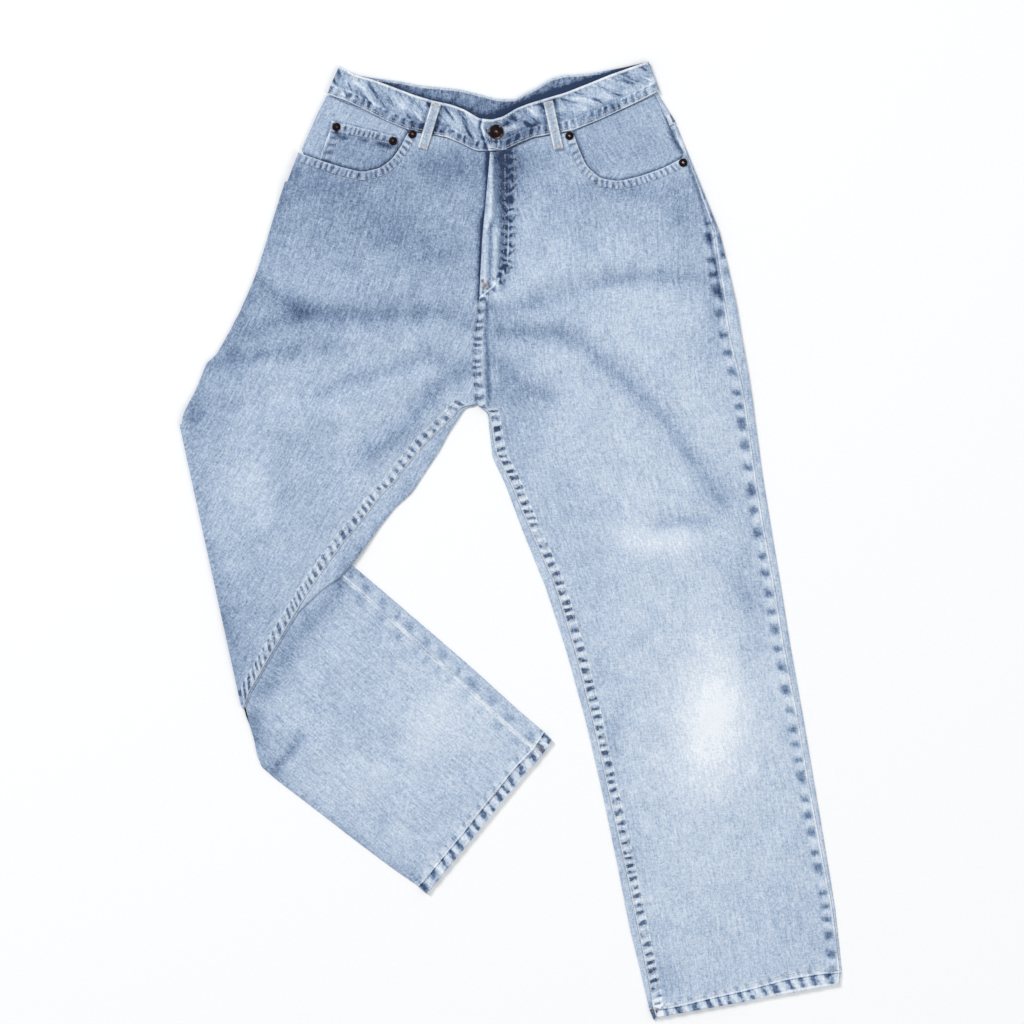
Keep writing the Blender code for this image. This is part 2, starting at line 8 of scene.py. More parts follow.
import bpy
import numpy as np
from bpy.props import FloatProperty, FloatVectorProperty, IntProperty, PointerProperty
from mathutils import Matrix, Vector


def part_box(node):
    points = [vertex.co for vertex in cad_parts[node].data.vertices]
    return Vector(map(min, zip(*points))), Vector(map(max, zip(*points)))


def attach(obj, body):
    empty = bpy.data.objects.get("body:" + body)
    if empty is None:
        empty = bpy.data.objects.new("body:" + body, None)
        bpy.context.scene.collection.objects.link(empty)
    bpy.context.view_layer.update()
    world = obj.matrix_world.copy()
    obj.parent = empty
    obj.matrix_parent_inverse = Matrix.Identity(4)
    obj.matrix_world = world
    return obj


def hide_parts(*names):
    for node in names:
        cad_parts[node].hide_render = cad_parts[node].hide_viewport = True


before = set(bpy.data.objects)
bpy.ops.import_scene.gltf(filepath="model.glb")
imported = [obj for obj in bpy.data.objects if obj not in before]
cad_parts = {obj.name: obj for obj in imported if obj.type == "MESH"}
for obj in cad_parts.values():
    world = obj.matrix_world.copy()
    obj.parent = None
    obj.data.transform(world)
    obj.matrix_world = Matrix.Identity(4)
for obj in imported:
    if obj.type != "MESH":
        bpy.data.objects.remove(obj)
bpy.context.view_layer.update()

bl_info = {
    "name": "Laid jeans",
    "version": (1, 0, 0),
    "blender": (4, 2, 0),
    "location": "View3D > Sidebar > Jeans",
    "description": "Builds faded five-pocket jeans laid flat with one leg folded under",
    "category": "Add Mesh",
}

# The plan: squares from the waistband's highest corner to the hem, and its middle
LAID_LENGTH = 1.0549
SQUARE = LAID_LENGTH / 959.0
PLAN_MIDDLE = (512.5, 541.5)
BUTTON_CENTRE = (496.2, 132.5)
VIEW_CENTRE = (512, 512)
VIEW_SQUARES = 1024

# Cloth and its layers, in metres
CLOTH = 0.0012
GAP = 0.0003
BAND_PLIES = 0.0024
LOOP_CLOTH = 0.0014
LOOP_WIDTH = 0.0105
LEG_PUFF = 0.0030
LEAST_PUFF = 0.0004
# Unevenness of the laid cloth: height, size of its waves and the seed of their directions
UNEVEN = ((0.0011, 0.085, 4), (0.0004, 0.030, 9))
PUFF_REACH = 0.045
EDGE_ROUND = 0.0010
STRIP_GAP = 0.0004
FLY_LAP = 0.018
HEM_TURN = 0.0012
HEM_BAND = 0.0142
MOUTH_BAND = 0.0095
BAND_EDGE = 0.0008
LEVELS = (0.0, CLOTH, CLOTH + GAP, 2 * CLOTH + GAP)
LAYER = CLOTH + GAP
FOLD_MIDDLE = 2 * CLOTH + 1.5 * GAP

# Puckers: their pitch along each kind of seam, and how far their waves lean across it
PRESSED_PITCH = 0.021
FELLED_PITCH = 0.0098
HEM_PITCH = 0.0145
MOUTH_PITCH = 0.0062
FLY_PITCH = 0.010
BAND_TOP_PITCH = 0.0088
BAND_SEAM_PITCH = 0.0094
COIN_SIDE_PITCH = 0.0075
LOOP_PITCH = 0.005
FELLED_WIDTH = 0.0118
FELLED_SLANT = 1.6
EDGE_SLANT = 160
MARK_REACH = 0.03

# Grid of a panel: columns close together beside the seams, and wider between them
SEAM_ZONE = 0.0165
SEAM_COLUMNS = 10
MIDDLE_COLUMNS = 52
STRIP_COLUMNS = 7
TOP_ROWS = 26
TURN_ROWS = 9
YOKE_COLUMNS = 50
YOKE_ROWS = 26
LOOP_ROWS = 34
LOOP_COLUMNS = 11
# Shares of the waistband's width, close together beside its edges
BAND_SHARES = np.concatenate([[0, 0.03, 0.07, 0.12], np.linspace(0.18, 0.82, 8),
                              [0.88, 0.92, 0.95, 0.975, 0.99, 1]])
# A belt loop's arch: shares of its length, and of its rise there
LOOP_BOW = ((0, 0.05, 0.12, 0.5, 0.86, 0.94, 1), (0, 0.1, 0.5, 1, 0.9, 0.68, 0.6))
LOOP_RISE = 0.0012

# Left leg: outer edge, the back panel's showing strip, the front panel's inner edge, the back
# panel's inner edge, and whether the two are joined there (below the crotch)
LEFT_LEG = (
    (719, 231, 5, 482, 240, 486, 238, 0),
    (728, 268, 9, 480.5, 270, 485, 270, 0),
    (736, 303, 11, 479, 300, 484, 300, 0),
    (742, 340, 11, 473.5, 335, 483, 335, 0),
    (748, 372, 9, 472.5, 368, 481.5, 368, 0),
    (753, 405, 7, 474, 403, 480.5, 404, 0),
    (754.5, 418, 7, 489.6, 413, 488, 413.5, 1),
    (757, 435, 7, 492.2, 433, 490, 434, 1),
    (760, 457, 7, 496.5, 456, 492.5, 457.5, 1),
    (763.5, 482, 7, 509.5, 481, 505, 483, 1),
    (771, 528, 7, 529, 528, 522.5, 530, 1),
    (780.5, 585, 6, 554.5, 585, 546, 588, 1),
    (790, 645, 6, 574, 648, 566.5, 651, 1),
    (802, 712, 5, 592, 719, 586, 721.5, 1),
    (814, 783, 5, 608.5, 793, 603, 795.5, 1),
    (824.5, 845, 4, 623.5, 860, 617, 862.5, 1),
    (835, 908, 2.5, 637, 924, 629.5, 926.5, 1),
    (841.5, 968, 2, 651, 994, 646.5, 996, 1),
)
LEFT_HEM = (
    (841.5, 971, 2, 652.5, 1006, 649, 1008, 1),
    (840.3, 985, 2, 656.5, 1018.5, 654, 1021, 1),
)
# Right thigh, above the knee fold; its strip is the front panel's width wrapped under
RIGHT_THIGH = (
    (285, 182, 4, 492, 240, 486, 240, 0),
    (275, 213, 7, 491, 270, 485, 270, 0),
    (264, 250, 9, 489, 303, 484, 303, 0),
    (255, 277, 10, 482.5, 335, 483, 335, 0),
    (247, 296, 10, 481, 368, 481.5, 368, 0),
    (242, 307, 10, 480.5, 396, 480, 397, 0),
    (240, 312, 10, 477, 405, 477, 406.5, 0),
    (238, 316, 10, 463.5, 405.5, 465.5, 407.5, 1),
    (235, 321, 10, 455, 415, 458.5, 418, 1),
    (230.5, 330, 10, 441.5, 429, 448, 434, 1),
    (226, 338, 10, 428, 441, 440, 450, 1),
    (221, 347, 10, 413, 458, 428, 468, 1),
    (216, 355, 10, 396.5, 480.5, 412, 493, 1),
    (207, 363, 10, 380, 497, 396, 507, 1),
    (204, 370, 10, 364, 519, 379, 528, 1),
    (200, 380, 10, 347, 539, 362, 552, 1),
    (195, 392, 10, 328, 564, 345, 574, 1),
    (190.5, 400, 10, 314, 584, 323, 589, 1),
    (186.5, 408, 10, 298, 609, 300.5, 610, 1),
    (184, 413, 10, 280, 639, 281.8, 640, 1),
    (182.6, 418, 10, 262, 670, 263.8, 671, 1),
    (182, 421.5, 10, 249, 693, 250.8, 694, 1),
)
FOLD_LINE = (182, 424, 11, 244, 707, 245.8, 708, 1)
# Right shin, turned over; its strip is the front panel's width that shows on top
RIGHT_SHIN = (
    (195, 435, 12, 246, 715, 250, 726, 1),
    (230, 464, 13, 249, 719, 254, 739, 1),
    (280, 505, 14, 254, 734, 257.5, 756, 1),
    (330, 547, 15, 264, 748, 262, 767, 1),
    (370, 580, 16, 284, 769, 277, 780, 1),
    (420, 623, 17, 322, 799, 315, 809, 1),
    (470, 666, 18, 362, 830, 355, 840, 1),
    (520, 711.5, 19, 402, 860, 395, 870, 1),
    (543, 731, 19, 423, 876, 417, 885, 1),
)
SHIN_HEM = (
    (546, 734, 19, 426, 879, 420, 888, 1),
    (554, 742, 19, 435, 886, 429, 895, 1),
)

# Upper edges of the front panels, from the outer side along the pocket mouth and the waist seam
FRONT_TOP_RIGHT = (
    (300, 153.5), (320, 160.5), (340, 167), (362, 172.5), (380, 168.5), (392, 159.5), (401, 147),
    (409, 131), (424, 134.5), (447, 138.5), (462, 145), (476, 152), (499, 152.5),
)
FRONT_TOP_LEFT = (
    (686.4, 156), (664, 168), (640, 176.5), (618, 181.5), (600, 178.5), (586, 166), (578, 147),
    (573, 131.8), (553, 135.5), (533, 139), (517, 145.6), (503, 152.5), (490, 152.5),
)
MOUTH_POINTS = 8

# Waistband from the right front end round the back to the left front end: its top edge, the seam
# below it, the turn (0 in front, 1 behind) and how far the end is raised over the other end
BAND = (
    (507, 121, 507, 150, 0, 0), (488, 119.5, 488, 151, 0, 0), (479, 118.5, 476, 151, 0, 0),
    (465, 110, 462, 144, 0, 0), (452, 105, 447, 137.5, 0, 0), (433, 101, 424, 133.5, 0, 0),
    (415, 95.5, 405, 129, 0, 0), (395, 88, 385, 120.5, 0, 0), (375, 80.5, 364, 109.5, 0, 0),
    (355, 75, 345, 100.5, 0, 0), (341.5, 67, 329, 95, 0, 0), (341.5, 67, 329, 95, 0.25, 0),
    (341.5, 67, 329, 95, 0.5, 0), (341.5, 67, 329, 95, 0.75, 0), (341.5, 67, 329, 95, 1, 0),
    (357, 75.5, 345, 103, 1, 0), (375, 78.5, 365, 108.5, 1, 0), (400, 81.5, 393, 112, 1, 0),
    (420, 85.5, 415, 116.5, 1, 0), (440, 87.5, 437, 119, 1, 0), (460, 89.5, 458, 122, 1, 0),
    (480, 94.5, 479, 126.5, 1, 0), (497, 99, 497, 131, 1, 0), (515, 99.5, 515, 131.5, 1, 0),
    (526, 93, 530, 124.5, 1, 0), (538, 87, 545, 117, 1, 0), (550, 79, 560, 109, 1, 0),
    (562, 75.5, 576, 106, 1, 0), (580, 74.5, 594, 106, 1, 0), (600, 72, 612, 104, 1, 0),
    (622, 68, 633, 99, 1, 0), (646, 62.3, 657, 92, 1, 0), (646, 62.3, 657, 92, 0.75, 0),
    (646, 62.3, 657, 92, 0.5, 0), (646, 62.3, 657, 92, 0.25, 0), (646, 62.3, 657, 92, 0, 0),
    (630, 68, 640, 101, 0, 0), (610, 75, 619, 111, 0, 0), (588, 84, 597, 121, 0, 0),
    (565, 93, 573, 130.3, 0, 0), (548, 98, 553, 134, 0, 0), (530, 103.5, 533, 137.5, 0, 0.35),
    (517, 108.5, 517, 144, 0, 1), (503, 117, 503, 151, 0, 1), (492, 120, 495, 149, 0, 1),
    (484, 120, 488.5, 148, 0, 1),
)
BACK_SEAM_RIGHT = slice(14, 23)
BACK_SEAM_LEFT = slice(22, 32)

# The waistband's rows in front and behind, and where its left end's lap starts
BAND_RIGHT_FRONT = slice(0, 11)
BAND_BEHIND = slice(16, 30)
BAND_LEFT_FRONT = slice(35, None)
BAND_LAP_START = 476

# Folds across the cloth: three points, height in mm (a trough is negative) and half width
FRONT_RIGHT_FOLDS = (
    (285, 305, 340, 318, 460, 316, -2.4, 9), (300, 335, 360, 338, 440, 336, 3.0, 14),
    (263, 400, 330, 392, 437, 355, -2.2, 11), (265, 424, 330, 418, 400, 386, 2.6, 15),
    (457, 371, 425, 400, 357, 448, -2.4, 10), (440, 404, 415, 432, 375, 468, 2.6, 13),
    (360, 200, 420, 235, 470, 262, -1.6, 16), (215, 352, 255, 362, 300, 360, -2.0, 8),
)
FRONT_LEFT_FOLDS = (
    (497, 309, 598, 283, 697, 280, -2.2, 11), (510, 292, 600, 264, 690, 258, 2.6, 15),
    (497, 331, 590, 345, 635, 390, -2.6, 10), (635, 390, 683, 443, 726, 507, -2.6, 10),
    (520, 314, 610, 330, 660, 378, 3.0, 14), (655, 378, 705, 432, 740, 490, 2.6, 13),
    (657, 528, 680, 520, 708, 520, -2.0, 8), (645, 548, 675, 542, 700, 541, 2.4, 13),
    (494, 358, 530, 395, 552, 396, -2.0, 11), (590, 600, 640, 640, 690, 700, 1.6, 26),
)
SHIN_FOLDS = (
    (272, 772, 286, 756, 302, 736, -2.4, 9), (290, 782, 306, 764, 320, 742, 2.4, 12),
)

# Yokes, facings, coin pocket and back pockets: each row runs from its outer to its inner side
YOKE_LOWER = {"right": (312.5, 127.5, 488.8, 202), "left": (676, 123, 489.4, 202)}
FACING_RIGHT = ((327, 95.5, 407.5, 130), (318, 113, 420, 148), (310, 131, 424, 162),
                (301.5, 149.5, 424, 174), (313, 172, 424, 184))
FACING_LEFT = ((655, 95.3, 574.5, 131.2), (668, 124, 556, 152), (677, 140, 556, 168),
               (683.5, 152.5, 560, 184), (668, 186, 566, 198))
COIN_POCKET = ((332, 121, 397.5, 137), (329.5, 132, 398, 143), (322, 152, 397, 163),
               (316, 171, 395, 178))
BACK_POCKET_RIGHT = ((334, 182, 455, 217), (320, 260, 436, 294), (318, 284, 426, 314),
                     (358, 318, 374, 322))
BACK_POCKET_LEFT = ((652, 178, 524, 210), (668, 254, 548, 288), (670, 280, 560, 310),
                    (626, 316, 608, 320))
# Belt loops: the middle of the upper end, the middle of the lower end, and where they lie
BELT_LOOPS = (
    (436.5, 103.5, 422.5, 149.5, "front"), (548, 102, 558.5, 149.5, "front"),
    (399, 84, 391, 128, "back"), (497, 101, 497, 147, "back"), (599, 75, 611, 120, "back"),
)
RIVETS = (
    ("rivet_1", 336.6, 127.3), ("rivet_2", 393.3, 141.4), ("rivet_3", 412.5, 134.6),
    ("rivet_4", 569.5, 136.2), ("rivet_5", 683, 163),
)
KNEE_EDGE = ((182, 424), (356, 568))
KNEE_FOLD = ((182, 424), (244, 707))
HIP_END = 480
HIP_BLEND = 120
KNEE_REACH = 62
KNEE_BLEND = 58
THIGH_INNER = ((244, 707), (362, 552))
THIGH_OUTLINE = ((182, 424), (244, 707), (300, 607), (360, 524), (380, 545))
THIGH_GRAIN = ((392, 150), (376, 240), (345, 330), (290, 440), (215, 565), (170, 640))
SHIN_GRAIN = ((215, 565), (491, 815))
SHIN_START = 0.52
FLY_LAP_LINE = ((490, 150), (488, 200), (482, 240), (479, 300), (473, 340), (474, 405))
HEM_LINES = {
    "left": ((655, 1021), (670, 1020), (690, 1016), (713, 1010), (745, 1003), (760, 999), (790, 991),
             (820, 986), (840, 984.5)),
    "shin": ((553, 741), (543, 757), (525, 775), (505, 800), (485, 825), (470, 844), (450, 868),
             (434, 888), (428, 894)),
}
FLY_EDGE = ((489, 152), (490, 185), (488, 200), (486, 215), (482.5, 228), (482, 240), (480, 275),
            (480, 300))
FLY_STITCH = ((509, 153), (509, 215), (508.5, 245), (507, 262), (502, 275), (495, 285), (488, 291))
CENTRE_BAND = ((482, 296), (479, 315), (478, 335), (477, 350), (477, 370), (479, 390), (481, 407))

# Rows of stitches, and bar-tacks: place, turn in degrees, width, threads and their pitch
STITCH_LINES = {
    "hems": (
        ((652, 1009), (665, 1007), (680, 1003), (700, 997), (720, 992), (740, 986), (760, 981),
         (780, 976), (800, 972), (820, 970), (839, 970)),
        ((545, 736), (528, 757), (510, 777), (490, 799), (470, 823), (450, 846), (430, 871), (423, 882)),
    ),
    "fly": (
        ((514, 154), (514, 215), (513, 245), (511, 266), (505, 281), (497, 290), (489, 294)),
        ((505, 154), (505, 215), (504.5, 243), (503, 260), (498, 271), (492, 279), (487, 284)),
        ((493, 155), (493, 213), (489.5, 229)),
        ((497.5, 232), (497.5, 280), (496, 288)),
        ((485, 300), (482.5, 320), (481, 340), (480.5, 365), (482.5, 385), (484.5, 403)),
        ((479.5, 300), (476.5, 320), (474.5, 340), (474.5, 365), (476, 385), (477, 403)),
    ),
    "coin": (
        ((333.5, 123.5), (396, 138.7)), ((332, 129.5), (395.5, 144.8)),
        ((332.6, 126), (330, 136), (323.5, 153), (320.5, 159)),
        ((339, 139), (336, 148), (332, 158)), ((396, 141), (395.8, 146), (393, 154)),
    ),
}
LAP_STITCHES = ((487, 122), (487, 128), (490, 140), (492, 147))
PALE_TACKS = (
    (435.7, 106.5, 17, 0.0024, 10, 0.00095), (423.3, 146.5, 17, 0.0024, 10, 0.00095),
    (548.6, 105, -12, 0.0024, 10, 0.00095), (557.9, 146.5, -12, 0.0024, 10, 0.00095),
)
RUST_TACKS = (
    (484.5, 284.5, 60, 0.0045, 14, 0.0010), (485.5, 285.5, -50, 0.0030, 10, 0.0010),
    (655, 1008.3, 8, 0.0016, 9, 0.0011), (410.5, 143.5, 80, 0.0018, 5, 0.0010),
    (540, 748, 50, 0.0016, 8, 0.0013),
)
BUTTONHOLE = (507.0, 129.6)
BUTTONHOLE_HALF = (0.0062, 0.0016)
BUTTONHOLE_THREADS = 25

# Painted shadows on the small pieces beside pocket mouths, edges, laps and loops, and pale lines where the
# darkness is negative: painted highlights on raised edges, and the buttonhole's thread; darkness, half width
# in squares and way
MOUTH_SHADE = {"right": (0.9, 2.4, FRONT_TOP_RIGHT[:8]), "left": (0.9, 2.4, FRONT_TOP_LEFT[:8])}
SHADE_LINES = {
    "facing_right": (
        MOUTH_SHADE["right"], (0.55, 0.7, ((333, 121), (397, 136.4))),
        (0.55, 0.7, ((330.6, 122), (328, 133), (320, 155))),
    ),
    "coin_pocket": (
        MOUTH_SHADE["right"], (0.9, 2.4, ((337, 135.5), (346, 138))),
        (0.7, 2.0, ((361, 140), (366, 141.2))), (0.9, 2.4, ((379, 144), (391, 147))),
        (-0.35, 0.9, ((334, 123), (397, 138.4))), (-0.35, 0.9, ((332, 123), (330, 133), (322, 153))),
    ),
    "facing_left": (
        MOUTH_SHADE["left"],
        (0.9, 2.4, ((657, 95), (663, 106), (669, 123), (673.5, 139.5), (682, 152))),
    ),
    # Painted shadows beside the loops and the lap, a painted highlight on the lap's edge, the buttonhole's
    # pale thread and the painted shadow of its slit
    "waistband": (
        (0.62, 2.6, ((443, 104), (429, 149))), (0.62, 2.6, ((430, 102), (416, 147))),
        (0.62, 2.6, ((541, 103), (552, 150))), (0.62, 2.6, ((554.5, 101), (565, 148))),
        (1.0, 1.5, ((481.4, 119), (479.4, 127), (483.4, 140), (487.4, 150))),
        (-1.3, 1.3, ((483.9, 119), (481.9, 127), (485.9, 140), (489.9, 150))),
        (-1.4, 1.8, ((503.5, 130.5), (511, 126.8))), (1.3, 1.6, ((502.9, 128.1), (510.4, 124.4))),
    ),
}
# Dark spots on the waistband: centre and half size in squares, and strength
BAND_SPOTS = (
    (395, 128, 36, 0.5), (602, 114, 26, 0.5), (470, 140, 16, 0.3), (360, 100, 12, 0.3),
    (486, 126, 8, 0.9), (520, 120, 14, 0.7), (512, 140, 12, 0.5), (440, 128, 10, 0.5),
    (418, 128, 10, 0.5), (530, 124, 14, 0.6),
)
# The waistband's upper edge in front, whose shadow falls on its inside behind
BAND_FRONT_EDGE = ((355, 76), (395, 89), (433, 102), (465, 111), (482, 119), (500, 118), (517, 109),
                   (548, 98), (588, 84.5), (646, 63))

# Painted shade along creases and in the shadows beside raised edges and seams, partly the darker colour that
# creases keep, with painted highlights on ridges where the strength is below zero: their line, half width in
# squares and strength
SHADE_AND_HIGHLIGHT_LINES = {
    "front_right": (
        (((244, 264), (262, 284), (285, 303), (304, 312)), 6, 0.24),
        (((300, 312), (340, 314), (390, 314), (440, 312), (466, 320)), 9, 0.44),
        (((262, 268), (300, 290), (360, 300)), 8, -0.16),
        (((250, 334), (270, 324), (300, 316)), 7, 0.24), (((290, 308), (380, 322)), 12, 0.12),
        (((207, 361), (240, 358), (290, 352), (330, 345)), 8, 0.36),
        (((320, 395), (360, 378), (410, 362), (437, 355)), 8, 0.3),
        (((466, 368), (437, 389), (418, 411), (402, 437), (372, 452)), 8, 0.5),
        (((300, 180), (350, 200), (410, 235), (450, 262)), 16, 0.24),
        (((430, 160), (450, 200), (462, 240)), 12, 0.14),
        (((240, 300), (222, 340)), 7, 0.3), (((196, 392), (190, 420)), 9, 0.3),
        (((350, 535), (362, 575)), 4, 0.5),
        (((488, 152), (487.5, 200), (482, 230), (480, 298)), 2.2, 1.9),
        (((292, 170), (270, 225), (245, 290)), 9, 0.3),
        (((284, 226), (340, 236), (400, 232)), 24, 0.14), (((476, 168), (476, 225)), 7, 0.24),
        (((190, 440), (218, 590), (243, 705)), 7, 0.26),
    ),
    "front_left": (
        (((486.5, 302), (486, 330), (487, 360), (488.5, 405)), 1.3, 0.8),
        (((478, 300), (475.5, 330), (474.5, 365), (476.5, 405)), 1.3, 0.7),
        (((655, 1000), (660, 1018)), 5, -1.1),
        (((682, 153), (693.5, 177), (703.5, 211), (710, 240), (715, 264), (722, 300)), 1.2, 0.65),
        (((491, 309), (550, 301), (598, 283), (635, 275), (697, 280)), 9, 0.38),
        (((497, 331), (563, 333), (590, 352), (630, 384), (657, 413), (683, 443), (702, 475),
          (726, 507)), 8, 0.5),
        (((657, 528), (678, 520), (705, 520)), 5, 0.4),
        (((491, 355), (534, 397), (550, 395)), 8, 0.36),
        (((501, 152), (502, 215), (501, 232), (500.5, 286)), 2.6, 0.62),
        (((507, 154), (507.5, 215), (506, 250), (502, 268)), 3.2, 0.5), (((494, 152), (497, 158)), 4, 0.6),
        (((509, 154), (509, 215), (508.5, 250), (504, 270)), 6.5, 0.40),
        (((490.6, 153), (491, 212), (488, 226)), 1.3, -0.9),
        (((495.5, 158), (495.5, 212), (493, 226)), 2.6, 0.3),
        (((486, 215), (485.5, 260), (484, 296)), 1.4, -0.3),
        (((495.5, 228), (495.5, 296)), 2.6, -0.5), (((490.5, 222), (490.5, 260), (489.5, 292)), 1.4, 0.8),
        (((560, 215), (620, 225), (680, 215)), 18, 0.22),
        (((720, 560), (748, 600)), 9, 0.22), (((560, 480), (590, 560)), 16, 0.12),
        (((735, 330), (755, 450)), 7, 0.2), (((545, 540), (592, 690), (645, 930)), 8, 0.12),
    ),
    "back_right": (
        (((522, 731), (536, 746)), 1.4, -1.2), (((529, 741), (541, 731)), 1.2, -1.0),
        (((275, 770), (284, 758), (292, 748), (300, 738)), 5, 0.62),
        (((252, 716), (256, 742)), 8, 0.5), (((262, 690), (300, 632), (352, 572)), 9, 0.5),
        (((330, 690), (360, 730)), 16, 0.10), (((262, 765), (340, 828), (425, 888)), 6, 0.3),
        (((470, 405), (430, 462), (380, 525), (350, 570)), 9, 0.3),
    ),
    "back_left": (
        (((673, 112), (680, 134), (691, 158), (703, 190), (715, 225), (724, 255)), 3.2, 0.6),
    ),
}
# Worn ovals, and darker ones below zero that are painted shade, partly the cloth's own uneven tone: centre,
# half sizes in squares, turn in degrees, strength
WORN_AND_SHADED_OVALS = {
    "front_right": (
        (252, 490, 22, 50, 18, 0.34), (375, 235, 120, 90, 0, -0.38), (275, 300, 36, 50, 0, -0.24),
        (212, 415, 34, 50, 0, -0.34), (300, 520, 44, 60, 30, -0.14), (238, 630, 30, 66, -10, -0.42),
        (330, 440, 50, 36, -30, -0.12), (400, 292, 70, 14, 0, -0.1), (270, 500, 70, 110, 20, -0.16),
        (370, 170, 90, 26, 10, -0.34), (460, 165, 30, 26, 0, -0.5), (236, 330, 16, 40, 0, -0.4),
    ),
    "front_left": (
        (716, 704, 30, 54, -4, 0.58), (712, 712, 60, 88, -8, 0.26),
        (655, 540, 46, 16, -8, 0.45), (700, 740, 120, 300, -8, 0.17),
        (640, 440, 110, 100, 0, 0.17), (600, 300, 70, 18, -8, 0.14), (560, 365, 50, 22, 15, 0.12),
        (480, 210, 12, 50, 0, -0.2), (506, 185, 20, 46, 0, -0.2), (515, 425, 26, 60, 0, -0.34),
        (718, 300, 14, 70, -8, -0.4), (620, 190, 60, 14, 0, -0.55), (500, 392, 24, 22, 0, -0.26),
        (745, 560, 12, 130, -8, -0.2), (752, 640, 14, 110, -8, -0.25), (614, 735, 9, 40, -14, -0.3),
        (624, 885, 8, 36, -12, -0.3), (512, 165, 34, 26, 0, -0.6), (560, 158, 40, 14, 0, -0.3),
        (690, 200, 22, 50, -10, -0.3), (715, 740, 30, 60, -8, 0.3), (650, 985, 34, 26, 0, -0.5),
    ),
    "back_right": (
        (395, 745, 20, 28, 0, -0.26), (400, 740, 90, 34, 42, 0.22), (465, 715, 70, 44, 42, 0.26),
        (255, 740, 20, 30, 0, -0.25),
    ),
}


def plan(x, y):
    """Plan squares to metres, +X to the image's right and +Y to the waist."""
    return np.stack([(np.asarray(x, float) - PLAN_MIDDLE[0]) * SQUARE,
                     (PLAN_MIDDLE[1] - np.asarray(y, float)) * SQUARE], axis=-1)


def plan_line(spots):
    """A polyline through plan squares, in metres."""
    return plan(*np.array(spots, float).T)


def frame_shift():
    """How far the CAD frame's origin lies from the plan's middle, read off the button."""
    low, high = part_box("button")
    return plan(*BUTTON_CENTRE) - np.array([(low[0] + high[0]) / 2, (low[1] + high[1]) / 2])


SHIFT = frame_shift()


# Heights and distances on the plan
def smooth(t):
    """A soft step from 0 to 1."""
    t = np.clip(t, 0.0, 1.0)
    return t * t * (3 - 2 * t)


def bell(distance, reach):
    """1 on a line, falling off softly to 0 past its reach."""
    return np.exp(-(distance / reach) ** 2)


def between(value, low, high, soft):
    """1 from low to high, with soft ends."""
    return smooth((value - low) / soft + 0.5) * smooth((high - value) / soft + 0.5)


def reach_to(points, line):
    """Distance of each point from a polyline, all in metres."""
    nearest = np.full(points.shape[:-1], np.inf)
    for start, end in zip(line[:-1], line[1:]):
        along = end - start
        t = np.clip(((points - start) @ along) / max(along @ along, 1e-12), 0, 1)
        nearest = np.minimum(nearest, np.linalg.norm(points - start - t[..., None] * along, axis=-1))
    return nearest


def near_line(points, spots, squares):
    """1 on a line through plan squares, falling off softly past that many squares."""
    return bell(reach_to(points, plan_line(spots)), squares * SQUARE)


def drawn(points, lines):
    """Darkness at each point from lines with their strengths and half widths."""
    return sum(strength * near_line(points, spots, wide) for strength, wide, spots in lines)


def lengths(line):
    """How far along a polyline each of its points lies."""
    steps = np.linalg.norm(np.diff(line, axis=0), axis=-1)
    return np.concatenate([[0.0], np.cumsum(steps)])


def along_line(line, pitch):
    """A polyline's points at an even pitch, its ends kept."""
    far = lengths(line)
    count = max(2, int(round(far[-1] / pitch)) + 1)
    at = np.linspace(0, far[-1], count)
    return np.stack([np.interp(at, far, line[:, k]) for k in range(line.shape[1])], axis=-1)


def softened(values, reach):
    """Rows averaged with their neighbours by a bell of that many rows, ends kept."""
    span = int(3 * reach)
    if span < 1 or len(values) < 3:
        return values
    weights = bell(np.arange(-span, span + 1), reach)
    weights /= weights.sum()
    first, last = values[:1], values[-1:]
    head = 2 * first - values[span:0:-1] if len(values) > span else np.repeat(first, span, 0)
    tail = 2 * last - values[-2:-span - 2:-1] if len(values) > span + 1 else np.repeat(last, span, 0)
    padded = np.concatenate([head, values, tail])
    return np.stack([np.convolve(padded[:, k], weights, "valid") for k in range(values.shape[1])], -1)


def fine_rows(rows, pitch):
    """A table's rows with straight ones between them at the pitch, then softened at their corners."""
    rows = np.array(rows, float)
    moves = np.maximum(np.hypot(np.diff(rows[:, 0]), np.diff(rows[:, 1])),
                       np.hypot(np.diff(rows[:, 3]), np.diff(rows[:, 4])))
    far = np.concatenate([[0.0], np.cumsum(moves)]) * SQUARE
    at = np.linspace(0, far[-1], max(2, int(round(far[-1] / pitch)) + 1))
    fine = np.stack([np.interp(at, far, rows[:, k]) for k in range(rows.shape[1])], -1)
    return softened(fine, 2.2)


def beats(distance, pitch, seed):
    """Phase of uneven puckers along a seam: one turn for each of them."""
    draw = np.random.default_rng(seed)
    count = int(distance.max() / pitch * 1.6) + 12
    places = np.concatenate([[0.0], np.cumsum(pitch * draw.uniform(0.62, 1.42, count))])
    return np.interp(distance, places, 2 * math.pi * np.arange(count + 1))


ONE_TURN = 6.283
RIPPLE_PEAK = 3.2


def ripple(x, y, size, seed):
    """A smooth uneven height from about -1 to 1: five crossing waves in drawn directions."""
    draw = np.random.default_rng(seed)
    total = np.zeros(np.shape(x))
    for turn, start, scale in zip(draw.uniform(0, math.pi, 5), draw.uniform(0, 6.3, 5),
                                  draw.uniform(0.7, 1.5, 5)):
        total = total + np.sin((x * math.cos(turn) + y * math.sin(turn)) * ONE_TURN / size * scale + start)
    return total / RIPPLE_PEAK


def right_of(points, line):
    """How far points lie to the right of a straight line, in metres."""
    start, end = plan_line(line)
    along = (end - start) / np.linalg.norm(end - start)
    return (points - start) @ np.array([along[1], -along[0]])


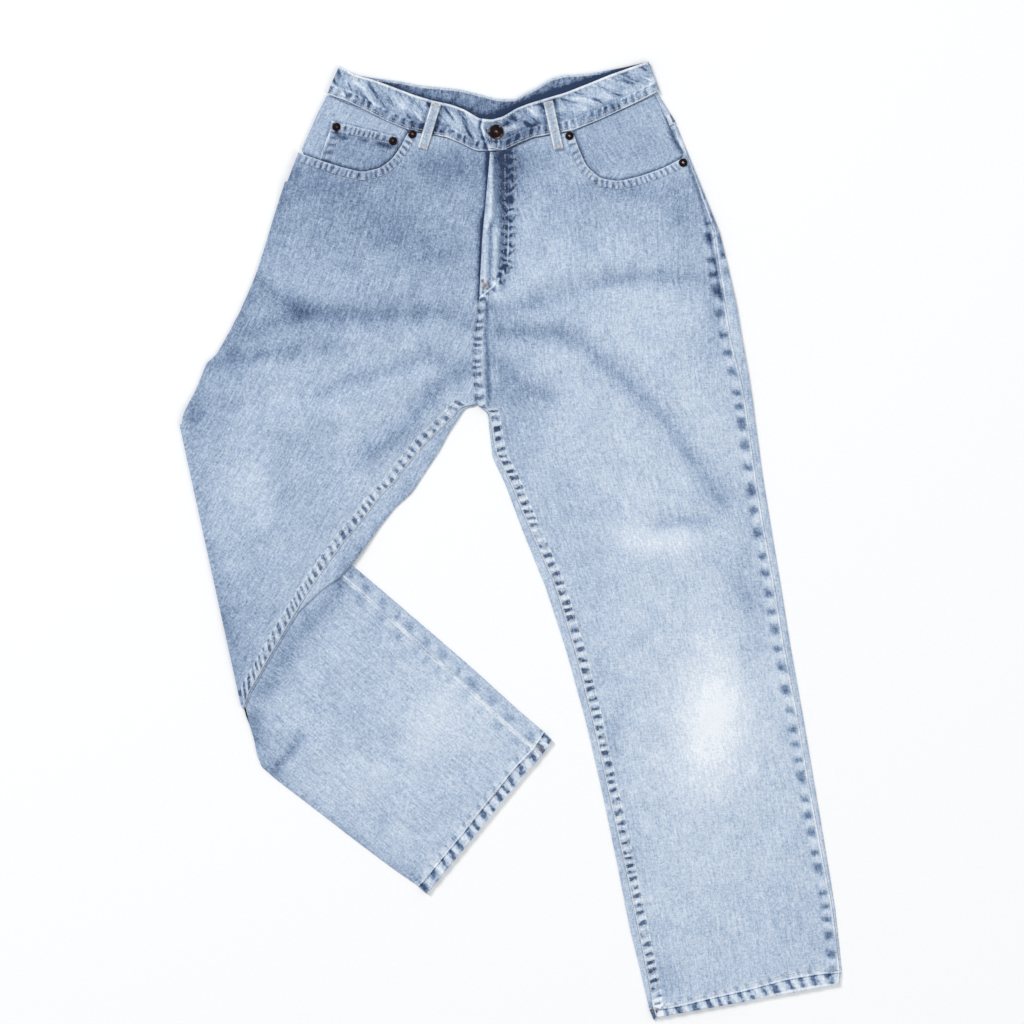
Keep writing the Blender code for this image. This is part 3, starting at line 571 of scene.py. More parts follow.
def hip_lift(points):
    """The back panels lie on the back pockets, and sink to the floor over the thighs."""
    y = PLAN_MIDDLE[1] - points[..., 1] / SQUARE
    return LAYER * smooth((HIP_END - y) / HIP_BLEND)


def knee_lift(points):
    """The thigh rises over the shin folded under it."""
    return 2 * LAYER * smooth((right_of(points, KNEE_EDGE) / SQUARE + KNEE_REACH) / KNEE_BLEND)


def fold_height(points, folds):
    """Ridges and troughs of the cloth, each a soft bell across its line."""
    height = np.zeros(points.shape[:-1])
    for x0, y0, x1, y1, x2, y2, rise, reach in folds:
        height += rise / 1000 * near_line(points, ((x0, y0), (x1, y1), (x2, y2)), reach)
    return height


def mouth_lift(points, top, layers):
    """The front panel's upper edge stands over what lies under the pocket mouth and the band."""
    edge = plan_line(top)
    mouth = smooth(1.6 - reach_to(points, edge[:MOUTH_POINTS]) / (38 * SQUARE)) * layers
    waist = smooth(1.4 - reach_to(points, edge[MOUTH_POINTS - 1:]) / (30 * SQUARE))
    return LAYER * np.maximum(mouth, waist)


def fly_lift(points):
    """The left front laps over the right front along the fly and down to the crotch."""
    return LAYER * smooth(1.9 - reach_to(points, plan_line(FLY_LAP_LINE)) / (16 * SQUARE))


SIDES = {
    "right": {"top": FRONT_TOP_RIGHT, "mouth_layers": 2.4, "folds": FRONT_RIGHT_FOLDS},
    "left": {"top": FRONT_TOP_LEFT, "mouth_layers": 1.0, "folds": FRONT_LEFT_FOLDS},
}


def base_height(points, side):
    """What a leg lies on: the back pockets, and on the right the shin."""
    height = hip_lift(points)
    return np.maximum(height, knee_lift(points)) if side == "right" else height


def front_rise(points, side):
    """How far the front panel stands above its place on the back panel."""
    rise = mouth_lift(points, SIDES[side]["top"], SIDES[side]["mouth_layers"])
    return rise + fly_lift(points) if side == "left" else rise


def spread(first, last):
    """Points between two edges: close together for a seam's width at each, wider between."""
    width = np.linalg.norm(last - first, axis=-1)
    zone = np.minimum(SEAM_ZONE / width, 0.4)
    side = np.linspace(0, 1, SEAM_COLUMNS)
    left = zone[:, None] * side
    middle = np.linspace(0, 1, MIDDLE_COLUMNS + 2)[1:-1]
    centre = zone[:, None] + (1 - 2 * zone[:, None]) * middle
    return np.concatenate([left, centre, 1 - left[:, ::-1]], axis=1)


def sections(rows, turn=0.0, hem=0.0):
    """Sections across a leg, one for each row: its edges, its seams and the points between."""
    rows = np.atleast_2d(np.array(rows, float))
    outer, front = plan(rows[:, 0], rows[:, 1]), plan(rows[:, 3], rows[:, 4])
    back = plan(rows[:, 5], rows[:, 6])
    joined = np.clip(rows[:, 7], 0, 1)[:, None]
    unit = (front - outer) / np.linalg.norm(front - outer, axis=-1, keepdims=True)
    seam = outer + unit * rows[:, 2:3] * SQUARE
    back = back - unit * GAP * (joined < 0.02)
    back_seam = back - unit * 1.6 * SQUARE
    back_seam = back_seam + (front - back_seam) * smooth(joined / 0.3)
    share = spread(seam, front)[:, :, None]
    count = len(rows)
    gap = np.linalg.norm(back - front, axis=-1) / SQUARE
    return {
        "outer": outer, "inner": back, "seam": seam, "contact": front, "unit": unit,
        "outer_wrap": np.clip((rows[:, 2] - 1.6) / 3, 0, 1),
        "inner_wrap": joined[:, 0] * smooth((gap - 2.2) / 3),
        "front": seam[:, None] + (front - seam)[:, None] * share,
        "back": seam[:, None] + (back_seam - seam)[:, None] * share,
        "turn": np.zeros(count) + turn, "hem": np.zeros(count) + hem, "puff": np.ones(count),
        "lap": FLY_LAP * (1 - joined[:, 0]), "joined": joined[:, 0],
        "top": np.zeros(count),
    }


def stacked(parts):
    """Several runs of sections one after another."""
    return {key: np.concatenate([part[key] for part in parts]) for key in parts[0]}


def top_part(side, first_row):
    """Front panel sections from its curved upper edge down to the first straight one."""
    below = sections([first_row] * TOP_ROWS)
    share = np.linspace(0, 1, TOP_ROWS, endpoint=False)
    spots = np.linspace(0, 1, len(SIDES[side]["top"]))
    at = spread(below["seam"][:1], below["contact"][:1])[0]
    edge = plan_line(SIDES[side]["top"])
    edge = softened(np.stack([np.interp(at, spots, edge[:, k]) for k in (0, 1)], -1), 1.2)
    part = dict(below)
    part["front"] = edge + (below["front"] - edge) * share[:, None, None]
    outer = part["front"][:, 0]
    along = part["front"][:, 6] - outer
    part["unit"] = along / np.linalg.norm(along, axis=-1, keepdims=True)
    part["outer"] = outer - part["unit"] * 1.8 * SQUARE
    part["seam"] = outer
    part["contact"] = part["front"][:, -1]
    part["outer_wrap"] = below["outer_wrap"] * share
    part["puff"] = share
    part["top"] = 1 - share
    return part


def leg_parts(side, pitch):
    """All sections of a leg in order, from the hip to the hem, through the knee fold on the right."""
    if side == "left":
        return stacked([sections(fine_rows(LEFT_LEG, pitch)), sections(fine_rows(LEFT_HEM, pitch), 0.0, 1.0)])
    turns = np.linspace(0, 1, TURN_ROWS)
    return stacked([
        sections(fine_rows(RIGHT_THIGH, pitch)),
        sections([FOLD_LINE] * len(turns), turns),
        sections(fine_rows(RIGHT_SHIN, pitch), 1.0),
        sections(fine_rows(SHIN_HEM, pitch), 1.0, 1.0),
    ])


def on_face(points, number, side, sec, rise):
    """Plan points placed on one of a leg's four faces: 0 is the back's outside, 3 the front's."""
    radius = LEVELS[number] + GAP / 2
    turned = sec["turn"][:, None] * math.pi
    inward = np.stack([sec["unit"][:, 1], -sec["unit"][:, 0]], -1)[:, None]
    flat = points + inward * (radius * np.sin(turned))[..., None]
    laid = LEVELS[number] + base_height(points, side) + sec["hem"][:, None] * HEM_TURN * (0, 1, 1, 2)[number]
    over = FOLD_MIDDLE + radius * np.cos(turned) + sec["hem"][:, None] * HEM_TURN * (2, 1, 1, 0)[number]
    height = np.where(sec["turn"][:, None] == 0, laid, over) + rise
    return np.concatenate([flat, height[..., None]], axis=-1)


def covered(points):
    """0 where the thigh lies over the shin, rising to 1 past the thigh's inner edge."""
    return smooth((right_of(points, THIGH_INNER) - 0.012) / 0.04)


def puff(points, sec, side, main):
    """Air, folds and small unevenness between the sheets, dying out at the seams."""
    span = np.linalg.norm(points - main[:, :1], axis=-1)
    far = np.linalg.norm(points - main[:, -1:], axis=-1) - sec["lap"][:, None]
    to_seam = np.minimum(span, far)
    turned = sec["turn"][:, None]
    folds = np.where(turned > 0, fold_height(points, SHIN_FOLDS), fold_height(points, SIDES[side]["folds"]))
    uneven = sum(high * ripple(points[..., 0], points[..., 1], size, seed) for high, size, seed in UNEVEN)
    height = np.maximum(LEG_PUFF + folds + uneven, LEAST_PUFF)
    if side == "right":
        shin = smooth(reach_to(points, plan_line(THIGH_OUTLINE)) / 0.05 - 0.4)
        shin = shin * (turned == 1) * covered(points)
        fold = smooth(reach_to(points, plan_line(KNEE_FOLD)) / 0.05)
        height = height * np.where(turned > 0, shin, fold)
    return height * smooth(to_seam / PUFF_REACH) * (1 - sec["hem"][:, None]) * sec["puff"][:, None]


def painted(points, name):
    """Painted crease shade and painted highlights of a panel at its plan points from its drawn lines, and its
    worn fading and painted shade from its ovals.
    """
    shade = np.zeros(points.shape[:-1])
    wear_and_shade = np.zeros(points.shape[:-1])
    for line, reach, strength in SHADE_AND_HIGHLIGHT_LINES.get(name, ()):
        path = softened(along_line(plan_line(line), 0.012), 1.2)
        away = reach_to(points, path)
        near = 0.6 * bell(away, reach * SQUARE) + 0.4 * bell(away, 2.3 * reach * SQUARE)
        shade = shade + strength * near * (0.88 + 0.12 * ripple(points[..., 0], points[..., 1], 0.03, 3))
    for x, y, wide, high, turn, strength in WORN_AND_SHADED_OVALS.get(name, ()):
        offset = (points - plan(x, y)) / SQUARE
        angle = math.radians(turn)
        across = (offset[..., 0] * math.cos(angle) + offset[..., 1] * math.sin(angle)) / wide
        down = (offset[..., 1] * math.cos(angle) - offset[..., 0] * math.sin(angle)) / high
        wear_and_shade = wear_and_shade + strength * np.exp(-across ** 2 - down ** 2)
    return shade, wear_and_shade


def grain_of(points, side, sec):
    """Cloth coordinates in metres: across the leg, and along it on the leg's middle line."""
    if side == "left":
        along = lengths((sec["seam"] + sec["contact"]) / 2)
        middle = (sec["seam"] + sec["contact"])[:, None] / 2
        across = np.sum((points - middle) * sec["unit"][:, None], axis=-1)
        return across, along[:, None]
    across, along = beside(points, softened(along_line(plan_line(THIGH_GRAIN), 0.03), 1.5))
    start, end = plan_line(SHIN_GRAIN)
    axis = (end - start) / np.linalg.norm(end - start)
    offset = points - start
    shin_along, shin_across = offset @ axis, offset @ np.array([-axis[1], axis[0]])
    turned = sec["turn"][:, None] > 0.5
    return np.where(turned, shin_across, across), np.where(turned, shin_along + SHIN_START, along)


def beside(points, line):
    """Signed distance from a polyline, and how far along it the nearest spot lies."""
    far = lengths(line)
    best = np.full(points.shape[:-1], np.inf)
    across, along = np.zeros_like(best), np.zeros_like(best)
    for k, (start, end) in enumerate(zip(line[:-1], line[1:])):
        step = end - start
        size = np.linalg.norm(step)
        unit = step / size
        offset = points - start
        t = offset @ unit
        t = np.clip(t, 0 if k else -1.0, size if k < len(line) - 2 else 2.0)
        gap = np.linalg.norm(offset - t[..., None] * unit, axis=-1)
        side = np.sign(offset @ np.array([-unit[1], unit[0]]))
        nearer = gap < best
        best = np.where(nearer, gap, best)
        across = np.where(nearer, gap * side, across)
        along = np.where(nearer, far[k] + t, along)
    return across, along


def panel_grid(sec, side, panel):
    """One panel's cloth on a grid of plan points, with its two faces, rims and seam distances.

    A row is a section: the strip wrapped round the outer edge, the points between the seams and
    the strip wrapped round the inner edge. The strips' inner face reaches the leg's other side.
    """
    front = panel == "front"
    own_out, own_in, other_out = (3, 2, 0) if front else (0, 1, 3)
    main, unit = sec[panel], sec["unit"]
    wraps_outer = front if side == "right" else not front
    wraps_inner = not front
    blocks, over = [], []
    share = np.linspace(0, 1, STRIP_COLUMNS)[:, None]
    step = unit[:, None]
    first = main[:, :1] + step * GAP / 2
    if wraps_outer:
        start = sec["outer"][:, None] + step * EDGE_ROUND
        end = main[:, :1] - step * STRIP_GAP
        blocks.append(start + (end - start) * share)
        over.append(np.repeat(sec["outer_wrap"][:, None], STRIP_COLUMNS, 1))
    blocks += [first, main[:, 1:-1], main[:, -1:] - step * GAP / 2]
    over.append(np.zeros(main.shape[:2]))
    if wraps_inner:
        start = main[:, -1:] + step * STRIP_GAP
        end = sec["inner"][:, None] - step * EDGE_ROUND
        blocks.append(start + (end - start) * share)
        over.append(np.repeat(sec["inner_wrap"][:, None], STRIP_COLUMNS, 1))
    points = np.concatenate(blocks, axis=1)
    over = np.concatenate(over, axis=1)

    turned = sec["turn"][:, None] > 0
    upper = turned != front
    marks = seam_marks(points, sec, side, panel)
    rise = (puff(points, sec, side, main) + relief(points, marks)) * (over == 0) * upper
    lift = np.where(turned, 0.0, front_rise(points, side)) if front else np.zeros_like(rise)
    out = on_face(points, own_out, side, sec, rise + lift)
    inn = on_face(points, own_in, side, sec, rise + lift)
    beyond = 0.5 * relief(points, marks) * (over > 0)
    if not front:
        beyond = beyond + np.where(turned, 0.0, front_rise(points, side) * (sec["hem"][:, None] == 0))
    far = on_face(points, other_out, side, sec, beyond)
    inn = inn + (far - inn) * over[..., None]

    rims = []
    for used, limit, end in ((wraps_outer, sec["outer"], 0), (wraps_inner, sec["inner"], -1)):
        middle = (out[:, end] + inn[:, end]) / 2
        if used:
            middle = middle + np.concatenate([limit - points[:, end], np.zeros((len(limit), 1))], 1)
        rims.append(middle)
    # Painted shade and highlights of the creases, and the worn and painted-shade ovals, for the tone
    # attribute
    shade, wear_and_shade = painted(points, f"{panel}_{side}")
    data = layers(
        points.shape[:2], grain=(*grain_of(points, side, sec), 0),
        seams=(marks["outer"], marks["inner"], marks["edge"]),
        beat=(marks["outer_beat"], marks["inner_beat"], marks["edge_beat"]),
        weight=(marks["plain"], marks["felled"], marks["band"]), tone=(shade, wear_and_shade, marks["dark"]),
    )
    return {"out": out, "inn": inn, "rims": rims, "data": data, "sec": sec}


def layers(shape, **named):
    """Vectors for each point of a grid: every named layer's three numbers or arrays, side by side."""
    return {key: np.stack([np.broadcast_to(part, shape) for part in parts], -1)
            for key, parts in named.items()}


def seam_marks(points, sec, side, panel):
    """Distances from a panel's seams, the phase of their puckers and how strongly each one shows.

    plain is the pressed seam at the outer side, felled the raised double-stitched seam at the inner
    side, and band the turned edge of the pocket mouth on a front and the hem's band.
    """
    outer_line, inner_line = sec["seam"], sec["contact"]
    turned = sec["turn"] > 0.5
    outer, inner = np.ones(points.shape[:2]), np.ones(points.shape[:2])
    for part in (turned, ~turned):
        if part.any():
            body = part & (sec["top"] == 0)
            outer[part] = reach_to(points[part], outer_line[body][::3])
            inner[part] = reach_to(points[part], inner_line[body][::3])
    seed = {"front": 11, "back": 23}[panel] + {"left": 0, "right": 5}[side]
    plain = np.zeros(len(sec["seam"]))
    felled = np.zeros_like(plain)
    if panel == "front":
        plain = (1 - sec["top"]) * ((side == "left") * 1.0 + 0.45 * turned)
        felled = smooth((sec["joined"] - 0.3) / 0.5) * (1 - turned) * (0.72 if side == "right" else 0.95)
    else:
        upper = smooth((sec["seam"][:, 1] - plan(0, 310)[1]) / 0.05)
        plain[:] = 0.12 + 0.5 * upper if side == "left" else 0.30
    marks = {
        "outer": outer, "inner": inner, "dark": 0.0,
        "outer_beat": beats(lengths(outer_line), PRESSED_PITCH, seed)[:, None],
        "inner_beat": beats(lengths(inner_line), FELLED_PITCH, seed + 1)[:, None],
        "plain": (plain * (1 - 0.4 * (sec["hem"] > 0)))[:, None], "felled": felled[:, None],
    }
    marks["edge"], marks["edge_beat"], marks["band"] = edge_marks(points, sec, side, panel)
    if panel == "front" and side == "left":
        fly_marks(points, marks)
    return marks


def edge_marks(points, sec, side, panel):
    """Distance, phase and strength of the pocket mouth's band, the waist seam and the hem's band."""
    far = np.full(points.shape[:-1], 1.0)
    beat, band = np.zeros_like(far), np.zeros_like(far)
    hem = plan_line(HEM_LINES["shin" if side == "right" else "left"])
    below, along = beside(points, along_line(hem, 0.01))
    on_hem = sec["turn"][:, None] > 0.5 if side == "right" else np.ones_like(far, bool)
    near_hem = (np.abs(below) < MARK_REACH) & on_hem
    far = np.where(near_hem, np.abs(below) * (MOUTH_BAND / HEM_BAND), far)
    beat = np.where(near_hem, beats(np.maximum(along, 0), HEM_PITCH, 71), beat)
    band = np.where(near_hem, 1.5, band)
    if panel == "front":
        top = plan_line(SIDES[side]["top"])
        mouth, along = beside(points, along_line(top[:MOUTH_POINTS], 0.006))
        near_mouth = (np.abs(mouth) < MARK_REACH) & (sec["turn"][:, None] < 0.5) & (along > 0.002)
        near_mouth &= points[..., 1] > plan(0, 262)[1]
        far = np.where(near_mouth, np.abs(mouth), far)
        beat = np.where(near_mouth, beats(np.maximum(along, 0), MOUTH_PITCH, 37), beat)
        band = np.where(near_mouth, 0.85, band)
    return far, beat, band


def fly_marks(points, marks):
    """The fly's raised edge and puckered curve on the left front, and the felled seam below it."""
    edge = reach_to(points, plan_line(FLY_EDGE))
    curve, along = beside(points, along_line(plan_line(FLY_STITCH), 0.008))
    centre, down = beside(points, along_line(plan_line(CENTRE_BAND), 0.01))
    on_centre = (np.abs(centre) < 0.008) & between_rows(points, 298, 409)
    marks["inner"] = np.where(on_centre, np.abs(centre) + 0.006, marks["inner"])
    marks["felled"] = np.where(on_centre, 0.6, marks["felled"])
    centre_beat = beats(np.maximum(down, 0) + 0.3, FELLED_PITCH, 83)
    marks["inner_beat"] = np.where(on_centre, centre_beat, marks["inner_beat"])
    on_curve = bell(curve, 0.0065)
    close = np.abs(curve) < 0.011
    curve_beat = beats(np.maximum(along, 0), FLY_PITCH, 85)
    curve_beat = curve_beat + 2.4 * ripple(points[..., 0], points[..., 1], 0.013, 91)
    marks["edge"] = np.where(close, np.abs(curve) + 0.0002, marks["edge"])
    marks["band"] = np.where(close, 1.5 * on_curve, marks["band"])
    marks["edge_beat"] = np.where(close, curve_beat, marks["edge_beat"])
    marks["fly"] = bell(edge - 0.004, 0.004)
    marks["dark"] = 0.34 * on_curve


def between_rows(points, upper, lower):
    """Where points lie between two rows of the plan."""
    return (points[..., 1] < plan(0, upper)[1]) & (points[..., 1] > plan(0, lower)[1])


def relief(points, marks):
    """Height of the seams' ridges and their puckers, from a bell across the seam and a sine along it."""
    pucker = bell(marks["outer"] - 0.007, 0.0055) * marks["plain"]
    height = -0.00055 * pucker * np.sin(marks["outer_beat"])
    felled = between(marks["inner"], 0.0006, FELLED_WIDTH, 0.0012) * marks["felled"]
    slant = marks["inner"] / FELLED_WIDTH * FELLED_SLANT
    height = height + felled * (0.00045 + 0.00040 * np.sin(marks["inner_beat"] + slant))
    band = between(marks["edge"], 0.0008, MOUTH_BAND, 0.0016) * marks["band"]
    height = height + band * (0.00035 + 0.00030 * np.sin(marks["edge_beat"] + marks["edge"] * EDGE_SLANT))
    if "fly" in marks:
        height = height + 0.0009 * marks["fly"]
    return height


# Meshes
def shell_mesh(name, grid):
    """A closed cloth mesh from a grid's outer face, its inner face and a rounded rim at each side.

    A ring runs along the outer face, over the last rim, back along the inner face and over the
    first rim, and rings are joined by quads and closed by strips at both ends.
    """
    out, inn, (first, last) = grid["out"], grid["inn"], grid["rims"]
    rows, count = out.shape[:2]
    ring = np.concatenate([out, last[:, None], inn[:, ::-1], first[:, None]], axis=1)
    size = ring.shape[1]
    verts = ring.reshape(-1, 3).copy()
    verts[:, :2] -= SHIFT
    row = np.arange(rows - 1)[:, None] * size
    k = np.arange(size)[None]
    a, b = row + k, row + (k + 1) % size
    quads = [np.stack([a, b, b + size, a + size], -1).reshape(-1, 4)]
    j = np.arange(count - 1)
    tris = []
    for start, flip in ((0, True), ((rows - 1) * size, False)):
        cap = np.stack([start + j, start + j + 1, start + 2 * count - j - 1, start + 2 * count - j], -1)
        quads.append(cap[:, ::-1] if flip else cap)
        ends = np.array([[start + 2 * count + 1, start, start + 2 * count],
                         [start + count - 1, start + count, start + count + 1]])
        tris.append(ends[:, ::-1] if flip else ends)
    quads, tris = np.concatenate(quads), np.concatenate(tris)
    if enclosed(verts, quads, tris) < 0:
        quads, tris = quads[:, ::-1], tris[:, ::-1]
    body = mesh_object(name, verts, quads, tris)
    for key, values in grid["data"].items():
        side_last, side_first = values[:, -1:], values[:, :1]
        put_attribute(body, key, np.concatenate([values, side_last, values[:, ::-1], side_first], 1))
    return body


def enclosed(verts, quads, tris):
    """Six times the volume inside the faces, positive when they point outwards."""
    faces = np.concatenate([quads[:, [0, 1, 2]], quads[:, [0, 2, 3]], tris])
    a, b, c = (verts[faces[:, n]] for n in range(3))
    return float(np.sum(a * np.cross(b, c)))


def mesh_object(name, verts, quads, tris=()):
    """A smooth-shaded object from arrays of places, quads and triangles."""
    mesh = bpy.data.meshes.new(name)
    faces = quads.tolist() + (tris.tolist() if len(tris) else [])
    mesh.from_pydata(verts.tolist(), [], faces)
    mesh.validate()
    mesh.polygons.foreach_set("use_smooth", np.ones(len(mesh.polygons), bool))
    mesh.update()
    body = bpy.data.objects.new(name, mesh)
    bpy.context.scene.collection.objects.link(body)
    return body


def put_attribute(body, key, values):
    """Stores a vector for each vertex under the attribute's name."""
    layer = body.data.attributes.new(key, "FLOAT_VECTOR", "POINT")
    layer.data.foreach_set("vector", np.ascontiguousarray(values.reshape(-1, 3), dtype=np.float32).ravel())


def finish_piece(body, material, node=None):
    """Gives a piece its material, hangs it on the root body and hides the CAD node that it stands for."""
    body.data.materials.append(material)
    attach(body, "root")
    if node:
        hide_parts(node)


def laid_sheet(body, middle):
    """Checks a cloth piece's flat cut: the grid's own size between its two faces, raising an error if its
    area is too small for that size.
    """
    across = np.linalg.norm(np.diff(middle, axis=1), axis=-1).sum(1)
    down = np.linalg.norm(np.diff(middle, axis=0), axis=-1).sum(0)
    one, other = middle[1:, 1:] - middle[:-1, :-1], middle[1:, :-1] - middle[:-1, 1:]
    area = float(np.linalg.norm(np.cross(one, other), axis=-1).sum() / 2)
    width, length = float(across.max()), float(down.max())
    share = area / (width * length)
    if share < 0.3:
        raise RuntimeError(f"{body.name}: the cut's area is too small for its size, {share:.2f}")


# The cloth's upper side, which stitches lie on
HEIGHT_CELL = 0.0022


class Upper:
    """Height map of the cloth's upper side: the highest vertex in each square, holes filled in."""

    def __init__(self):
        self.places = []
        self.grid = None

    def add(self, body):
        """Takes in a piece's vertices."""
        spots = np.empty(len(body.data.vertices) * 3)
        body.data.vertices.foreach_get("co", spots)
        self.places.append(spots.reshape(-1, 3))
        self.grid = None

    def build(self):
        """Fills the squares, each hole from the highest of the squares round it."""
        spots = np.concatenate(self.places)
        self.low = spots[:, :2].min(axis=0) - 3 * HEIGHT_CELL
        size = np.ceil((spots[:, :2].max(axis=0) - self.low) / HEIGHT_CELL).astype(int) + 4
        grid = np.full(size, -1.0)
        at = ((spots[:, :2] - self.low) / HEIGHT_CELL).astype(int)
        np.maximum.at(grid, (at[:, 0], at[:, 1]), spots[:, 2])
        for _ in range(3):
            near = np.full(size, -1.0)
            for dx in (-1, 0, 1):
                for dy in (-1, 0, 1):
                    near = np.maximum(near, np.roll(np.roll(grid, dx, 0), dy, 1))
            grid = np.where(grid < 0, near, grid)
        self.grid = grid

    def at(self, spots):
        """Height at each place of the frame, from the square that it falls in."""
        if self.grid is None:
            self.build()
        index = np.clip(((spots - self.low) / HEIGHT_CELL).astype(int), 0, np.array(self.grid.shape) - 1)
        return np.maximum(self.grid[index[:, 0], index[:, 1]], 0.0)


UPPER = Upper()


# Small cloth pieces
def two_faced(points, over, under, data):
    """A grid with an upper and a lower face at their heights, and a rim midway at each side."""
    out, inn = (np.concatenate([points, np.broadcast_to(high, points.shape[:2])[..., None]], -1)
                for high in (over, under))
    rims = [(out[:, end] + inn[:, end]) / 2 for end in (0, -1)]
    return {"out": out, "inn": inn, "rims": rims, "data": data}


def flat_grid(rows, low, pitch, shade=0.0, welt=0.0, lines=()):
    """A flat piece through straight rows: points spaced evenly across each, two faces a cloth apart.

    The upper face swells slightly between its edges, and stands higher by the welt at its top edge.
    """
    rows = np.array(rows, float)
    left, right = plan(rows[:, 0], rows[:, 1]), plan(rows[:, 2], rows[:, 3])
    far = lengths((left + right) / 2)
    at = np.linspace(0, far[-1], max(4, int(round(far[-1] / pitch)) + 1))
    first, last = (np.stack([np.interp(at, far, side[:, k]) for k in (0, 1)], -1) for side in (left, right))
    width = np.linalg.norm(last - first, axis=-1)[:, None]
    count = max(5, int(round(width.max() / pitch)) + 1)
    share = np.linspace(0, 1, count)
    points = first[:, None] + (last - first)[:, None] * share[:, None]
    from_left, from_right = share * width, (1 - share) * width
    from_top = np.repeat(at[:, None], count, 1)
    beat = beats(from_left, MOUTH_PITCH, 5)
    side_beat = beats(from_top, COIN_SIDE_PITCH, 6)
    band = between(from_top, 0.0, 0.0112, 0.0014) * (welt > 0)
    rise = band * (welt * 0.7 + 0.00025 * np.sin(beat + from_top * 200))
    edge = np.minimum(from_left, from_right)
    rise = rise + 0.0002 * smooth(edge / 0.02) + 0.00012 * ripple(points[..., 0], points[..., 1], 0.018, 8)
    rise = rise - 0.0004 * bell(np.minimum(edge, from_top), 0.0012)
    data = layers(
        points.shape[:2], grain=(from_left, from_top, 0), seams=(from_left, from_right, from_top),
        beat=(side_beat, side_beat + 2, beat), weight=(0.6 * (welt > 0), 0, welt > 0),
        # tone: the piece's darkness with its painted shadows beside edges and painted highlights on its
        # raised edges
        tone=(shade + drawn(points, lines), 0, 0),
    )
    return two_faced(points, low + CLOTH + rise, low, data)


def yoke_grid(side):
    """The back yoke: straight across between the waistband's seam behind and its own lower edge."""
    band = np.array(BAND)[BACK_SEAM_RIGHT if side == "right" else BACK_SEAM_LEFT]
    upper = plan(band[:, 2], band[:, 3] + 0.5)
    if side == "left":
        upper = upper[::-1]
    upper[-1, 0] += GAP if side == "left" else -GAP
    upper = along_line(upper, lengths(upper)[-1] / (YOKE_COLUMNS - 1))[:YOKE_COLUMNS]
    outer_x, outer_y, inner_x, inner_y = YOKE_LOWER[side]
    first, last = plan(outer_x, outer_y), plan(inner_x, inner_y)
    lower = first + (last - first) * np.linspace(0, 1, len(upper))[:, None]
    points = upper + (lower - upper) * np.linspace(0, 1, YOKE_ROWS)[:, None, None]
    from_top = np.linalg.norm(points - points[:1], axis=-1)
    from_low = np.linalg.norm(points - points[-1:], axis=-1)
    across = np.linalg.norm(points - points[:, :1], axis=-1)
    data = layers(
        points.shape[:2], grain=(across, from_top, 0), seams=(from_top + 0.02, from_low, 1),
        beat=(0, beats(across, FELLED_PITCH, 3), 0), weight=(0, 1, 0), tone=(0, 0, 0),
    )
    return two_faced(points, LAYER + CLOTH, LAYER, data)


def band_rows(pitch):
    """The waistband's table with rows between at the pitch, and how far along each one lies."""
    rows = np.array(BAND, float)
    moves = np.maximum(np.hypot(np.diff(rows[:, 0]), np.diff(rows[:, 1])),
                       np.hypot(np.diff(rows[:, 2]), np.diff(rows[:, 3]))) * SQUARE
    turning = np.abs(np.diff(rows[:, 4])) * math.pi * (GAP + BAND_PLIES)
    far = np.concatenate([[0.0], np.cumsum(moves + turning)])
    at = np.linspace(0, far[-1], int(round(far[-1] / pitch)) + 1)
    return at, softened(np.stack([np.interp(at, far, rows[:, k]) for k in range(6)], -1), 1.6)


def band_tone(points, at, from_top, from_seam, behind):
    """Darkness of the waistband: blotches in front, darker round the button, painted shadows beside the loops
    and the lap with a painted highlight on its edge, the buttonhole's thread and its slit's painted shadow,
    and painted shade over the inside behind.
    """
    uneven = ripple(at, 1.4 * from_top, 0.024, 33)
    front = 0.22 * smooth(uneven) - 0.16 * smooth(-uneven) + drawn(points, SHADE_LINES["waistband"])
    for x, y, wide, strength in BAND_SPOTS:
        offset = np.linalg.norm(points - plan(x, y), axis=-1) / SQUARE
        front = front + strength * bell(offset, wide) * between(from_seam, -0.002, 0.014, 0.006)
    front = front + 0.42 * bell(points[..., 0] - plan(506, 0)[0], 26 * SQUARE)
    # Painted shade behind: even over the inside, deeper under the front band's upper edge and most to the
    # right of the button
    gap_shade = 0.5 + 0.9 * (points[..., 0] > plan(496, 0)[0])
    inside = 0.46 + 2.0 * gap_shade * near_line(points, BAND_FRONT_EDGE, 5)
    return front * (1 - behind) + inside * behind


